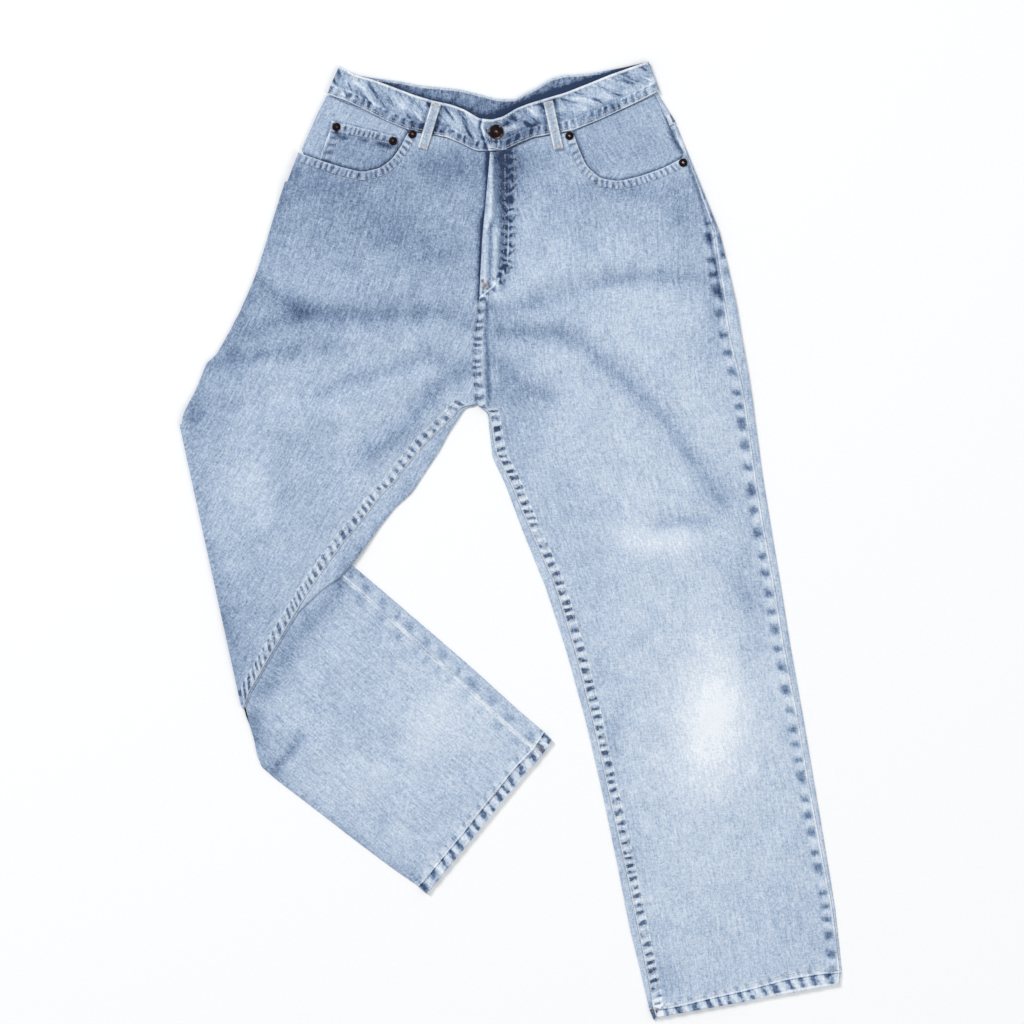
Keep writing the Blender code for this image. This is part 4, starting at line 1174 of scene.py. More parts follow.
def band_grid(pitch):
    """The waistband: a profile down the band's width carried round the waist.

    It is turned over at both sides on a small circle, and its left end lies on its right one.
    """
    at, fine = band_rows(pitch)
    at = at[:, None]
    top, seam = plan(fine[:, 0], fine[:, 1]), plan(fine[:, 2], fine[:, 3])
    turned = np.clip(fine[:, 4:5], 0, 1)
    angle = turned * math.pi
    down = (seam - top) / np.linalg.norm(seam - top, axis=-1, keepdims=True)
    away = np.where(fine[:, :1] < PLAN_MIDDLE[0], -1.0, 1.0)
    side = np.stack([-down[:, 1], down[:, 0]], -1)
    side = side * np.sign(side[:, :1]) * away
    start = top + down * BAND_EDGE
    points = start[:, None] + (seam - start)[:, None] * BAND_SHARES[:, None]
    width = np.linalg.norm(seam - top, axis=-1)[:, None]
    from_top = BAND_SHARES * width
    from_seam = width - from_top
    beat = beats(at, BAND_TOP_PITCH, 14)
    low_beat = beats(at, BAND_SEAM_PITCH, 15)
    rise = 0.00028 * between(from_top, 0.0004, 0.0052, 0.001) * np.sin(beat + from_top * 220)
    rise = rise + 0.00040 * between(from_seam, 0.0006, 0.0080, 0.002) * np.sin(low_beat + from_seam * 180)
    rise = rise + 0.0006 * ripple(at + 0 * from_top, from_top, 0.055, 21) * bell(from_top - 0.017, 0.014)
    raised = LAYER + (BAND_PLIES + GAP) * (1 + smooth(fine[:, 5:6]))
    faces = []
    for radius, lift in ((GAP + BAND_PLIES, rise), (GAP, -0.5 * rise)):
        reach = radius + lift * (np.abs(np.cos(angle)) > 0.9)
        flat = points + side[:, None] * (reach * np.sin(angle))[..., None]
        faces.append(np.concatenate([flat, (raised + reach * np.cos(angle))[..., None]], -1))
    rims = [(faces[0][:, end] + faces[1][:, end]) / 2 for end in (0, -1)]
    rims[0][:, :2] -= down * BAND_EDGE
    behind = smooth(turned)
    data = layers(
        points.shape[:2], grain=(at, from_top, 0), seams=(from_top, from_seam, 1),
        beat=(beat, low_beat, 0), weight=(1, 1 - behind * 0.7, 0),
        tone=(band_tone(points, at, from_top, from_seam, behind), 0, 0),
    )
    return {"out": faces[0], "inn": faces[1], "rims": rims, "data": data}


def loop_grid(top_x, top_y, end_x, end_y, low, arch):
    """A belt loop: a strip whose profile arches off the band between its two sewn ends."""
    top, end = plan(top_x, top_y), plan(end_x, end_y)
    size = np.linalg.norm(end - top)
    down = (end - top) / size
    half = np.array([-down[1], down[0]]) * LOOP_WIDTH / 2
    share = np.linspace(0, 1, LOOP_ROWS)[:, None]
    across = np.linspace(-1, 1, LOOP_COLUMNS)[None]
    points = top + (end - top) * share[..., None] + half * across[..., None]
    bow = np.interp(share, *LOOP_BOW) * LOOP_RISE * arch
    crown = 0.0003 * (1 - across ** 2) + 0.00035 * bell(np.abs(across) - 0.62, 0.2)
    ends = 0.0006 * (bell(share - 0.02, 0.03) + bell(share - 0.97, 0.03)) * arch
    thick = LOOP_CLOTH if arch else CLOTH
    over = low + thick + bow + (crown + ends) * (1 if arch else 0.3)
    data = layers(
        points.shape[:2], grain=(across * LOOP_WIDTH / 2, share * size, 0),
        seams=((1 - np.abs(across)) * LOOP_WIDTH / 2, 1, 1),
        beat=(beats(share * size, LOOP_PITCH, 2), 0, 0), weight=(0.2, 0, 0),
        tone=(0.22 * bell(across, 0.6) * arch, 0.2 * bell(np.abs(across) - 1, 0.28) * arch, 0),
    )
    return two_faced(points, over, low + bow, data)


# Thread
STEP = 0.003
FELLED_ROWS = (0.0022, 0.0098)
MOUTH_ROWS = (0.0020, 0.0088)
LOOP_OFFSETS = (-0.0031, 0.0031)
STITCH_CLIMB = 0.0006
STITCH_SCATTER = 0.00008
STITCH_CORNERS = 24
TACK_PITCH = 0.003
TACK_RADIUS = 0.0003


def capsules(centres, tangents, ups, length, radius):
    """Six-sided stitches: rings at four places along each, narrow at the ends, flattened a little."""
    places = np.array([-0.5, -0.33, 0.33, 0.5])
    radii = np.array([0.4, 1.0, 1.0, 0.4]) * radius
    angles = np.arange(6) * math.pi / 3
    sides = np.cross(ups, tangents)
    sides /= np.linalg.norm(sides, axis=-1, keepdims=True)
    ups = np.cross(tangents, sides)
    along = tangents[:, None, None] * (places * length)[None, :, None, None]
    ring = (sides[:, None, None] * np.cos(angles)[None, None, :, None]
            + 0.75 * ups[:, None, None] * np.sin(angles)[None, None, :, None])
    verts = centres[:, None, None] + along + ring * radii[None, :, None, None]
    count = len(centres)
    row = np.arange(3)[:, None] * 6
    k = np.arange(6)[None]
    body = np.stack([row + k, row + (k + 1) % 6, row + 6 + (k + 1) % 6, row + 6 + k], -1).reshape(-1, 4)
    caps = np.array([[3, 2, 1, 0], [5, 4, 3, 0], [18, 19, 20, 21], [18, 21, 22, 23]])
    faces = np.concatenate([body, caps])[None] + (np.arange(count) * STITCH_CORNERS)[:, None, None]
    return verts.reshape(-1, 3), faces.reshape(-1, 4)


def stitch_rows(paths, pitch, share, radius, seed):
    """Stitches laid along paths of the frame, each as long as its share of the pitch."""
    draw = np.random.default_rng(seed)
    centres, tangents = [], []
    for path in paths:
        size = lengths(path)[-1]
        count = max(1, int(size / pitch))
        ends = np.linspace(0, size, count + 1)
        far = lengths(path)
        middle = (ends[1:] + ends[:-1]) / 2
        spots = [np.stack([np.interp(middle + step * pitch * share / 2, far, path[:, k]) for k in (0, 1)], -1)
                 for step in (-1, 0, 1)]
        heights = [UPPER.at(spot) for spot in spots]
        climb = np.clip(heights[2] - heights[0], -STITCH_CLIMB, STITCH_CLIMB)
        tangent = np.concatenate([spots[2] - spots[0], climb[:, None]], -1)
        tangents.append(tangent / np.linalg.norm(tangent, axis=-1, keepdims=True))
        centres.append(np.concatenate([spots[1], (heights[1] + 0.1 * radius)[:, None]], -1))
    centres, tangents = np.concatenate(centres), np.concatenate(tangents)
    centres[:, :2] += draw.normal(0, STITCH_SCATTER, centres[:, :2].shape)
    ups = np.zeros_like(centres) + (0, 0, 1)
    verts, faces = capsules(centres, tangents, ups, pitch * share, radius)
    tone = np.repeat(draw.uniform(0, 1, len(centres)), STITCH_CORNERS)
    return verts, faces, tone


def thread_piece(name, paths, material, pitch, radius, seed, share=0.78):
    """A joined piece of stitches, with each stitch's own shade in an attribute."""
    verts, faces, tone = stitch_rows(paths, pitch, share, radius, seed)
    body = mesh_object(name, verts, faces)
    put_attribute(body, "tone", np.stack([tone, tone, tone], -1))
    finish_piece(body, material)


def squares_path(spots):
    """A path in the frame through plan squares, its corners softened."""
    return softened(along_line(plan_line(spots), STEP), 1.0) - SHIFT


def squares_paths(name):
    """The paths of the named rows of stitches."""
    return [squares_path(spots) for spots in STITCH_LINES[name]]


def tack(x, y, turn, width, count, pitch):
    """A bar-tack: short parallel threads side by side across a line through a plan square."""
    angle = math.radians(turn)
    along = np.array([math.cos(angle), -math.sin(angle)])
    across = np.array([along[1], -along[0]])
    centre = plan(x, y) - SHIFT
    paths = []
    for k in range(count):
        middle = centre + along * (k - (count - 1) / 2) * pitch
        paths.append(np.stack([middle - across * width / 2, middle + across * width / 2]))
    return paths


def tack_paths(rows):
    """The threads of every bar-tack in a table."""
    return [path for row in rows for path in tack(*row)]


# Metal
def turned_grid(centre, low, profile, segments):
    """A profile of radius and height turned round an upright line, closed at its two poles."""
    profile = np.array(profile, float)
    angle = np.arange(segments) * 2 * math.pi / segments
    ring = np.stack([np.cos(angle), np.sin(angle)], -1)
    flat = centre + profile[:, 0][:, None, None] * ring[None]
    high = np.repeat((low + profile[:, 1])[:, None], segments, 1)
    verts = np.concatenate([flat, high[..., None]], -1).reshape(-1, 3)
    poles = np.array([[*centre, low + profile[0, 1]], [*centre, low + profile[-1, 1]]])
    row = np.arange(len(profile) - 1)[:, None] * segments
    k = np.arange(segments)[None]
    nxt = (k + 1) % segments
    quads = np.stack([row + k, row + nxt, row + segments + nxt, row + segments + k], -1).reshape(-1, 4)
    foot, head = len(verts), len(verts) + 1
    last = (len(profile) - 1) * segments
    k, nxt = k[0], nxt[0]
    tris = np.concatenate([np.stack([nxt, k, np.full(segments, foot)], -1),
                           np.stack([last + k, last + nxt, np.full(segments, head)], -1)])
    radii = np.concatenate([np.repeat(profile[:, 0], segments), [0, 0]])
    return np.concatenate([verts, poles]), quads, tris, radii


BUTTON_PROFILE = (
    (0.50, 0.0), (0.50, 0.10), (0.90, 0.11), (0.97, 0.14), (1.0, 0.20), (0.995, 0.26), (0.96, 0.31),
    (0.90, 0.345), (0.84, 0.35), (0.78, 0.33), (0.74, 0.29), (0.72, 0.275), (0.60, 0.285),
    (0.57, 0.30), (0.545, 0.285), (0.44, 0.29), (0.41, 0.31), (0.385, 0.295), (0.28, 0.30),
    (0.24, 0.335), (0.18, 0.365), (0.10, 0.38), (0.03, 0.385),
)
RIVET_PROFILE = (
    (1.0, 0.0), (1.0, 0.10), (0.97, 0.15), (0.90, 0.18), (0.80, 0.20), (0.72, 0.245), (0.66, 0.25),
    (0.60, 0.235), (0.50, 0.24), (0.42, 0.27), (0.36, 0.35), (0.28, 0.42), (0.18, 0.45), (0.05, 0.46),
)


# Where the thread runs
def seam_row(grid, offset, keep):
    """A row of stitches beside the inner seam of a leg's grid."""
    sec = grid["sec"]
    return softened(sec["contact"][keep] - sec["unit"][keep] * offset, 1.0) - SHIFT


def inseam_paths(side):
    """The two rows of a felled seam, below the crotch and above the hem or the knee fold."""
    grid = MADE[f"front_{side}_cloth"]
    sec = grid["sec"]
    keep = (sec["joined"] > 0.6) & (sec["turn"] == 0) & (sec["hem"] == 0)
    return [seam_row(grid, offset, keep) for offset in FELLED_ROWS]


def beside_path(spots, offset):
    """A path at a distance to the right of another, seen along its way."""
    line = softened(along_line(plan_line(spots), STEP), 1.5)
    way = np.gradient(line, axis=0)
    way /= np.linalg.norm(way, axis=-1, keepdims=True)
    return line + np.stack([way[:, 1], -way[:, 0]], -1) * offset - SHIFT


def mouth_paths(side):
    """The two rows beside a pocket's mouth."""
    mouth = SIDES[side]["top"][:MOUTH_POINTS]
    hand = 1 if side == "right" else -1
    return [beside_path(mouth, hand * offset)[2:-2] for offset in MOUTH_ROWS]


def band_paths():
    """Rows along the waistband's upper edge and its seam in front, and its edge behind."""
    rows = np.array(BAND, float)
    right = rows[BAND_RIGHT_FRONT]
    front = [right[right[:, 0] < BAND_LAP_START], rows[BAND_LEFT_FRONT]]
    paths = []
    for part in front:
        down = part[:, 2:4] - part[:, 0:2]
        down /= np.linalg.norm(down, axis=-1, keepdims=True)
        paths.append(squares_path(part[:, 0:2] + down * 2.6))
        paths.append(squares_path(part[:, 2:4] - down * 2.8))
    behind = rows[BAND_BEHIND]
    down = behind[:, 2:4] - behind[:, 0:2]
    paths.append(squares_path(behind[:, 0:2] + down / np.linalg.norm(down, axis=-1, keepdims=True) * 2.4))
    paths.append(squares_path(LAP_STITCHES))
    return paths


def loop_paths():
    """Two rows along each belt loop in front."""
    paths = []
    for top_x, top_y, end_x, end_y, side in BELT_LOOPS:
        if side == "front":
            for offset in LOOP_OFFSETS:
                paths.append(beside_path(((top_x, top_y), (end_x, end_y)), offset)[1:-1])
    return paths


def pale_tacks():
    """Bar-tacks on the belt loops' ends, and threads across the buttonhole's rim."""
    angle = np.linspace(0, 2 * math.pi, BUTTONHOLE_THREADS + 1)
    half = np.stack([BUTTONHOLE_HALF[0] * np.cos(angle), BUTTONHOLE_HALF[1] * np.sin(angle)], -1)
    rim = plan(*BUTTONHOLE) - SHIFT + half
    outer = rim + (rim - rim.mean(0)) * 0.4
    return tack_paths(PALE_TACKS) + [np.stack(pair) for pair in zip(rim[:-1], outer[:-1])]


# Materials
def linear(colour):
    """Display colour parts from 0 to 255 as the shader's linear ones."""
    parts = np.clip(np.array(colour[:3], float), 0, 255) / 255
    parts = np.where(parts <= 0.04045, parts / 12.92, ((parts + 0.055) / 1.055) ** 2.4)
    return (*[float(part) for part in parts], 1.0)


class Wire:
    """A number carried by a material's nodes; sums and products of wires add Math nodes."""

    def __init__(self, shade, socket):
        self.shade, self.socket = shade, socket

    def _with(self, kind, *others, swap=False):
        values = [*others, self] if swap else [self, *others]
        return self.shade.add("ShaderNodeMath", {"operation": kind}, dict(enumerate(values)))

    def __add__(self, other):
        return self._with("ADD", other)

    def __sub__(self, other):
        return self._with("SUBTRACT", other)

    def __rsub__(self, other):
        return self._with("SUBTRACT", other, swap=True)

    def __mul__(self, other):
        return self._with("MULTIPLY", other)

    __radd__ = __add__
    __rmul__ = __mul__

    def sine(self):
        return self._with("SINE")

    def held(self, low=0.0, high=1.0):
        """The value kept between two limits."""
        return self._with("MAXIMUM", low)._with("MINIMUM", high)

    def step(self, low, high):
        """A soft step from 0 at low to 1 at high."""
        return self.shade.add("ShaderNodeMapRange", {"interpolation_type": "SMOOTHSTEP"},
                              {"Value": self, "From Min": low, "From Max": high})

    def inside(self, low, high, soft):
        """1 between two limits, with soft ends."""
        return self.step(low - soft, low + soft) * (1 - self.step(high - soft, high + soft))


class Shade:
    """One material and the nodes that make it."""

    def __init__(self, name):
        self.material = bpy.data.materials.new(name)
        self.material.use_nodes = True
        self.tree = self.material.node_tree
        self.tree.nodes.clear()

    def add(self, kind, settings=None, sockets=None, out=0):
        """Adds a node: its settings first, a ramp's stops among them, then its sockets' values or links."""
        node = self.tree.nodes.new(kind)
        for key, value in (settings or {}).items():
            if key == "stops":
                ramp = node.color_ramp
                while len(ramp.elements) < len(value):
                    ramp.elements.new(0.5)
                for element, (place, colour) in zip(ramp.elements, value):
                    element.position, element.color = place, colour
            else:
                setattr(node, key, value)
        for key, value in (sockets or {}).items():
            if isinstance(value, Wire):
                self.tree.links.new(value.socket, node.inputs[key])
            else:
                node.inputs[key].default_value = value
        return Wire(self, node.outputs[out]) if len(node.outputs) else None

    def split(self, key):
        """The three numbers of an attribute."""
        vector = self.add("ShaderNodeAttribute", {"attribute_name": key}, out="Vector")
        parts = self.add("ShaderNodeSeparateXYZ", None, {0: vector})
        return [Wire(self, parts.socket.node.outputs[k]) for k in range(3)]

    def noise(self, place, scale, detail=2.0, rough=0.5, twist=0.0):
        sockets = {"Vector": place, "Scale": scale, "Detail": detail, "Roughness": rough, "Distortion": twist}
        return self.add("ShaderNodeTexNoise", {"noise_dimensions": "3D"}, sockets)

    def woven(self, across, along, wide, deep, start, detail=1.0, rough=0.5):
        """Noise with so many turns in a metre across the cloth and along it."""
        return self.noise(self.joined(across * wide, along * deep, start), 1.0, detail, rough)

    def joined(self, x, y, z=0.0):
        return self.add("ShaderNodeCombineXYZ", None, {0: x, 1: y, 2: z})

    def ramp(self, value, stops):
        return self.add("ShaderNodeValToRGB", {"stops": stops}, {0: value})

    def surface(self, **sockets):
        """The material's surface, from its shader's sockets by name."""
        named = {key.replace("_", " "): value for key, value in sockets.items()}
        shader = self.add("ShaderNodeBsdfPrincipled", None, named)
        self.add("ShaderNodeOutputMaterial", None, {0: shader})
        return self.material


DENIM_STEPS = (0.0, 0.30, 0.50, 0.68, 1.0)


def ladder(zone, wave, spots, dip, top):
    """Dark dips and pale tops of a wave inside a zone, roughened by small spots."""
    share, rough, low, high = dip
    dips = zone * (wave * share + (spots - 0.5) * rough).step(low, high)
    tops = zone * (0 - wave + (spots - 0.5) * top).step(0.1, 1.0)
    return dips, tops


def pressed_seam(outer, wave, spots, mottles, plain):
    """A pressed outer seam: a broken pale line at the edge, dark spots and pale ridges inside it."""
    spot = outer.inside(0.0032, 0.0122, 0.0034) * (wave + (spots - 0.5) * 1.2).step(-0.3, 1.3) * plain
    ridge = outer.inside(0.0028, 0.0105, 0.003) * (0 - wave).step(0.2, 0.9) * plain
    line = outer.inside(-0.001, 0.0019, 0.0007) * (plain * 2.4).held() * (mottles.step(0.36, 0.6) * 0.7 + 0.3)
    return ridge * 0.10 - spot * 0.40 + line * 0.34


def felled_seam(inner, wave, spots, felled, pucker, steady):
    """A raised inner seam: slanted dips and tops between its two rows of stitches, and pale lips."""
    zone = inner.inside(0.0014, 0.0112, 0.0010) * felled
    dips, tops = ladder(zone, wave, spots, (steady, 3.2, -0.05, 0.85), 2.0)
    lip = inner.inside(-0.001, 0.0013, 0.0005) + inner.inside(0.0100, 0.0120, 0.0006) * 0.5
    return tops * (0.24 * pucker) - dips * (0.50 * pucker) + lip * felled * 0.24


def turned_edge(edge, wave, spots, band, pucker):
    """A turned edge's puckered band; a hem, whose weight is more than 1, has a frill above it too."""
    dips, tops = ladder(edge.inside(0.0010, 0.0090, 0.0012) * band, wave, spots, (0.8, 2.4, 0.0, 0.9), 1.8)
    lip = edge.inside(-0.001, 0.0012, 0.0005) * band
    hems = band.step(1.2, 1.4)
    frill = edge.inside(0.0100, 0.0138, 0.0014) * ((wave + (spots - 0.5) * 3.0).step(0.0, 1.0) - 0.4)
    row = edge.inside(0.0090, 0.0101, 0.0004) * 0.22 - edge.inside(0.0080, 0.0088, 0.0004) * 0.3
    mouth_row = edge.inside(0.0090, 0.0100, 0.0005) * band * (1 - hems)
    change = tops * (0.14 * pucker) - dips * (0.30 * pucker) + lip * 0.20
    return change + hems * (row - frill * 0.26) - mouth_row * 0.16


def waist_marks(shade, across, along, outer, wave, plain, felled):
    """The waistband's own marks: a puckered upper edge, and slanting strokes over its body."""
    edge = outer.inside(-0.001, 0.0018, 0.0006) * 0.34
    edge = edge - outer.inside(0.0012, 0.0054, 0.0010) * wave.step(0.0, 1.0) * 0.12
    sheared = shade.joined((across + along * 1.1) * 84, (along - across * 0.3) * 34, 5.0)
    strokes = shade.noise(sheared, 1.0, 3.0, 0.6, 0.5)
    body = outer.inside(0.0016, 0.026, 0.0016) * felled
    return edge * plain - body * ((strokes - 0.53).held() * 3.4 - (0.46 - strokes).held() * 2.2)


def denim(name, looks, lift=0.0, mottle=1.0, streak=1.0, pucker=1.0, top_band=False, warmth=0.0):
    """Faded denim: warp streaks and slubs along the grain, mottling, seam puckers, worn fading, and painted
    shade and highlights of creases, seams and edges.

    One number says how faded a spot is, with its painted shade and highlights taken in, and a ramp turns it
    to a colour from indigo to near white.
    Dark spots and pale ridges alternate along seams by the sine of the pucker's phase, which is also
    what raises them in the mesh.
    """
    shade = Shade(name)
    across, along, _ = shade.split("grain")
    outer, inner, edge = shade.split("seams")
    outer_beat, inner_beat, edge_beat = shade.split("beat")
    plain, felled, band = shade.split("weight")
    painted_shade_and_tone, wear_and_shade, dark = shade.split("tone")
    place = shade.add("ShaderNodeTexCoord", out="Object")

    streaks = shade.woven(across, along, 640, 150, 0.0, 2.0, 0.55)
    slubs = shade.woven(across, along, 330, 34, 3.0)
    weft = shade.woven(across, along, 110, 760, 7.0)
    speckle = shade.noise(place, 430.0, 2.0, 0.65)
    grit = shade.noise(place, 1150.0, 1.0)
    mottles = shade.noise(place, 46.0, 3.0, 0.55, 0.4)
    clouds = shade.noise(place, 11.0, 2.0, 0.5, 0.3)
    spots = shade.noise(place, 150.0, 1.0)

    # Fading from the worn ovals and the painted shade ovals, less the painted shade of creases, edges and
    # seams; a painted highlight lightens it
    worn = wear_and_shade * 0.34 - painted_shade_and_tone * 0.44 + (0.62 + lift)
    for noise, strength in ((streaks, 0.42 * streak), (slubs, 0.25 * streak), (weft, 0.20), (speckle, 0.52),
                            (grit, 0.34), (mottles, 0.20 * mottle), (clouds, 0.10 * mottle)):
        worn = worn + (noise - 0.5) * strength

    shift = (mottles - 0.5) * 5.0
    if top_band:
        wave = (outer_beat + outer * 220.0 + shift * 0.8).sine()
        worn = worn + waist_marks(shade, across, along, outer, wave, plain, felled)
    else:
        worn = worn + pressed_seam(outer, (outer_beat + shift).sine(), spots, mottles, plain)
    wander, steady = (1.7, 0.45) if top_band else (0.4, 0.8)
    wave = (inner_beat + inner * (FELLED_SLANT / FELLED_WIDTH) + shift * wander).sine()
    worn = worn + felled_seam(inner, wave, spots, felled, pucker, steady)
    wave = (edge_beat + edge * EDGE_SLANT + shift * 0.5).sine()
    worn = worn + turned_edge(edge, wave, spots, band, pucker)
    worn = (worn - dark * (0.55 * pucker) * (spots - 0.25).held()).held()

    blues = (looks.deep, looks.dark, looks.middle, looks.light, looks.pale)
    warmer = np.array((8.0, 2.0, -8.0)) * warmth
    stops = tuple((step, linear(255 * np.array(blue) + warmer)) for step, blue in zip(DENIM_STEPS, blues))
    weave = ((across + along * 0.6) * (2 * math.pi / looks.twill)).sine()
    height = weave * 0.25 + (streaks - 0.5) * 0.9 + (speckle - 0.5) * 0.8
    bump = shade.add("ShaderNodeBump", None, {"Strength": 0.55, "Distance": 0.00035, "Height": height})
    return shade.surface(Base_Color=shade.ramp(worn, stops), Roughness=0.92 - worn * 0.08, Normal=bump,
                         Specular_IOR_Level=0.2, Sheen_Weight=0.12, Sheen_Roughness=0.6)


def thread(name, colours):
    """Cotton thread: each stitch its own shade between two colours, with a fine twist in its bump."""
    shade = Shade(name)
    tone, _, _ = shade.split("tone")
    place = shade.add("ShaderNodeTexCoord", out="Object")
    fluff = shade.noise(place, 2600.0, 2.0, 0.6)
    stops = ((0.1, linear(colours[0])), (0.9, linear(colours[1])))
    colour = shade.ramp((tone * 0.7 + fluff * 0.3).held(), stops)
    bump = shade.add("ShaderNodeBump", None, {"Strength": 0.4, "Distance": 0.0001, "Height": fluff})
    return shade.surface(Base_Color=colour, Roughness=0.8, Normal=bump, Specular_IOR_Level=0.25)


def aged_copper(name):
    """Dark plated copper with painted highlights, a pale glint where it stands highest and a pale ring near
    its rim, over its own blots, dull and pitted in its grooves.
    """
    shade = Shade(name)
    ring, high, _ = shade.split("tone")
    place = shade.add("ShaderNodeTexCoord", out="Object")
    pits = shade.noise(place, 900.0, 3.0, 0.6)
    blots = shade.noise(place, 260.0, 2.0, 0.6)
    # Painted highlights: a pale glint on the top and a pale ring near the rim, added to the metal's own blots
    # below
    glint = high.step(0.80, 1.0) * (blots.step(0.4, 0.6) * 0.5 + 0.5)
    rim = ring.inside(0.80, 0.94, 0.05) * blots.step(0.5, 0.7)
    rubbed = (glint * 0.75 + rim * 0.45 + (blots - 0.5) * 0.5 + 0.12).held()
    colour = shade.ramp(rubbed, ((0.0, linear((20, 13, 16))), (0.35, linear((40, 25, 27))),
                                 (0.7, linear((92, 66, 62))), (1.0, linear((206, 186, 178)))))
    rough = 0.50 - rubbed * 0.22 + (pits - 0.5) * 0.2
    bump = shade.add("ShaderNodeBump", None, {"Strength": 0.35, "Distance": 0.0002, "Height": pits})
    return shade.surface(Base_Color=colour, Metallic=0.85, Roughness=rough, Normal=bump)


def paper_floor(name, colour):
    """A pale matt floor with a barely seen tooth."""
    shade = Shade(name)
    place = shade.add("ShaderNodeTexCoord", out="Object")
    tooth = shade.noise(place, 300.0, 2.0, 0.5)
    base = linear(colour)
    low = tuple(part * 0.985 for part in base[:3]) + (1.0,)
    tone = shade.ramp(tooth, ((0.3, low), (0.7, base)))
    return shade.surface(Base_Color=tone, Roughness=0.95, Specular_IOR_Level=0.1)


# What a user may change
def display_colour(name, description, parts):
    """A colour property whose default is given in display parts from 0 to 255."""
    return FloatVectorProperty(name=name, description=description, subtype="COLOR_GAMMA", size=3,
                               min=0.0, max=1.0, default=tuple(part / 255 for part in parts))


class DenimLooks(bpy.types.PropertyGroup):
    """Colours and weave of the faded denim."""

    deep: display_colour("Deep indigo", "Colour in the darkest creases and puckers", (40, 58, 90))
    dark: display_colour("Dark blue", "Colour in seam puckers and folds", (112, 133, 164))
    middle: display_colour("Middle blue", "Colour of the little worn cloth", (160, 179, 204))
    light: display_colour("Light blue", "Colour of the washed cloth", (196, 210, 228))
    pale: display_colour("Worn white", "Colour of the knees and the rubbed edges", (243, 248, 253))
    twill: FloatProperty(name="Twill pitch", description="Distance between two twill lines",
                         default=0.0009, min=0.0004, max=0.003, subtype="DISTANCE", unit="LENGTH")


class ThreadLooks(bpy.types.PropertyGroup):
    """Colours and sizes of the sewing thread."""

    sand: display_colour("Sand thread", "Darker shade of the seam thread", (164, 155, 150))
    cream: display_colour("Cream thread", "Lighter shade of the seam thread", (226, 222, 216))
    rust: display_colour("Rust thread", "Darker shade of the tacks' thread", (112, 88, 76))
    amber: display_colour("Amber thread", "Lighter shade of the tacks' thread", (178, 150, 128))
    pitch: FloatProperty(name="Stitch length", description="From one stitch to the next",
                         default=0.0030, min=0.0015, max=0.006, subtype="DISTANCE", unit="LENGTH")
    radius: FloatProperty(name="Thread radius", description="Half the thread's thickness",
                          default=0.00036, min=0.0001, max=0.001, subtype="DISTANCE", unit="LENGTH")


class ClothSizes(bpy.types.PropertyGroup):
    """Fineness of the cloth's grids and of the metal."""

    pitch: FloatProperty(name="Row pitch", description="Distance between two rows of a leg's grid",
                         default=0.0026, min=0.002, max=0.02, subtype="DISTANCE", unit="LENGTH")
    fine_pitch: FloatProperty(name="Fine pitch", description="Grid of the pockets and the waistband",
                              default=0.0018, min=0.001, max=0.01, subtype="DISTANCE", unit="LENGTH")
    round_parts: IntProperty(name="Round parts", description="Sides of the button and the rivets",
                             default=48, min=12, max=96)


class StageLooks(bpy.types.PropertyGroup):
    """The floor, the lights and the camera."""

    floor: display_colour("Floor", "Colour of the pale floor", (254, 254, 254))
    camera_height: FloatProperty(name="Camera height", description="Height of the camera over the floor",
                                 default=7.0, min=2.0, max=20.0, subtype="DISTANCE", unit="LENGTH")
    key_power: FloatProperty(name="Key light", description="Power of the soft light from the waist's side",
                             default=250.0, min=0.0, max=2000.0, subtype="POWER", unit="POWER")
    fill: FloatProperty(name="Sky", description="Strength of the even light all round",
                        default=0.56, min=0.0, max=10.0)


GROUPS = {"jeans_denim": DenimLooks, "jeans_thread": ThreadLooks, "jeans_cloth": ClothSizes,
          "jeans_stage": StageLooks}
MADE = {}


def finish_named(name):
    """A shared material, made the first time that it is asked for."""
    looks, thread_looks = bpy.context.scene.jeans_denim, bpy.context.scene.jeans_thread
    found = bpy.data.materials.get(name)
    if found:
        return found
    seam = (255 * np.array(thread_looks.sand), 255 * np.array(thread_looks.cream))
    tack_colours = (255 * np.array(thread_looks.rust), 255 * np.array(thread_looks.amber))
    makers = {
        "leg_denim": lambda: denim(name, looks),
        "hip_denim": lambda: denim(name, looks, lift=-0.10),
        "coin_denim": lambda: denim(name, looks, lift=-0.13),
        "band_denim": lambda: denim(name, looks, lift=-0.08, mottle=1.8, pucker=0.62, top_band=True),
        "loop_denim": lambda: denim(name, looks, lift=0.0, streak=0.7, warmth=0.3),
        "seam_thread": lambda: thread(name, seam),
        "tack_thread": lambda: thread(name, tack_colours),
        "copper_painted_glint": lambda: aged_copper(name),
    }
    return makers[name]()


def add_cloth(name, grid, node, material):
    body = shell_mesh(name, grid)
    finish_piece(body, finish_named(material), node)
    laid_sheet(body, (grid["out"] + grid["inn"]) / 2)
    UPPER.add(body)
    MADE[name] = grid


class JEANS_OT_legs(bpy.types.Operator):
    """Makes the four leg panels, the right leg turned over at the knee"""

    bl_idname = "jeans.legs"
    bl_label = "Leg panels"

    def execute(self, context):
        pitch = context.scene.jeans_cloth.pitch
        for side, first in (("right", RIGHT_THIGH[0]), ("left", LEFT_LEG[0])):
            legs = leg_parts(side, pitch)
            front = panel_grid(stacked([top_part(side, first), legs]), side, "front")
            add_cloth(f"front_{side}_cloth", front, f"front_{side}", "leg_denim")
            lower = np.array(YOKE_LOWER[side]) + (0, 1.6, 0, 1.6)
            top_row = (lower[0], lower[1], 1.7, lower[2], lower[3], lower[2], lower[3], 0)
            upper = sections(fine_rows((top_row, first), 0.006)[:-1])
            back = panel_grid(stacked([upper, legs]), side, "back")
            add_cloth(f"back_{side}_cloth", back, f"back_{side}", "leg_denim")
        return {"FINISHED"}


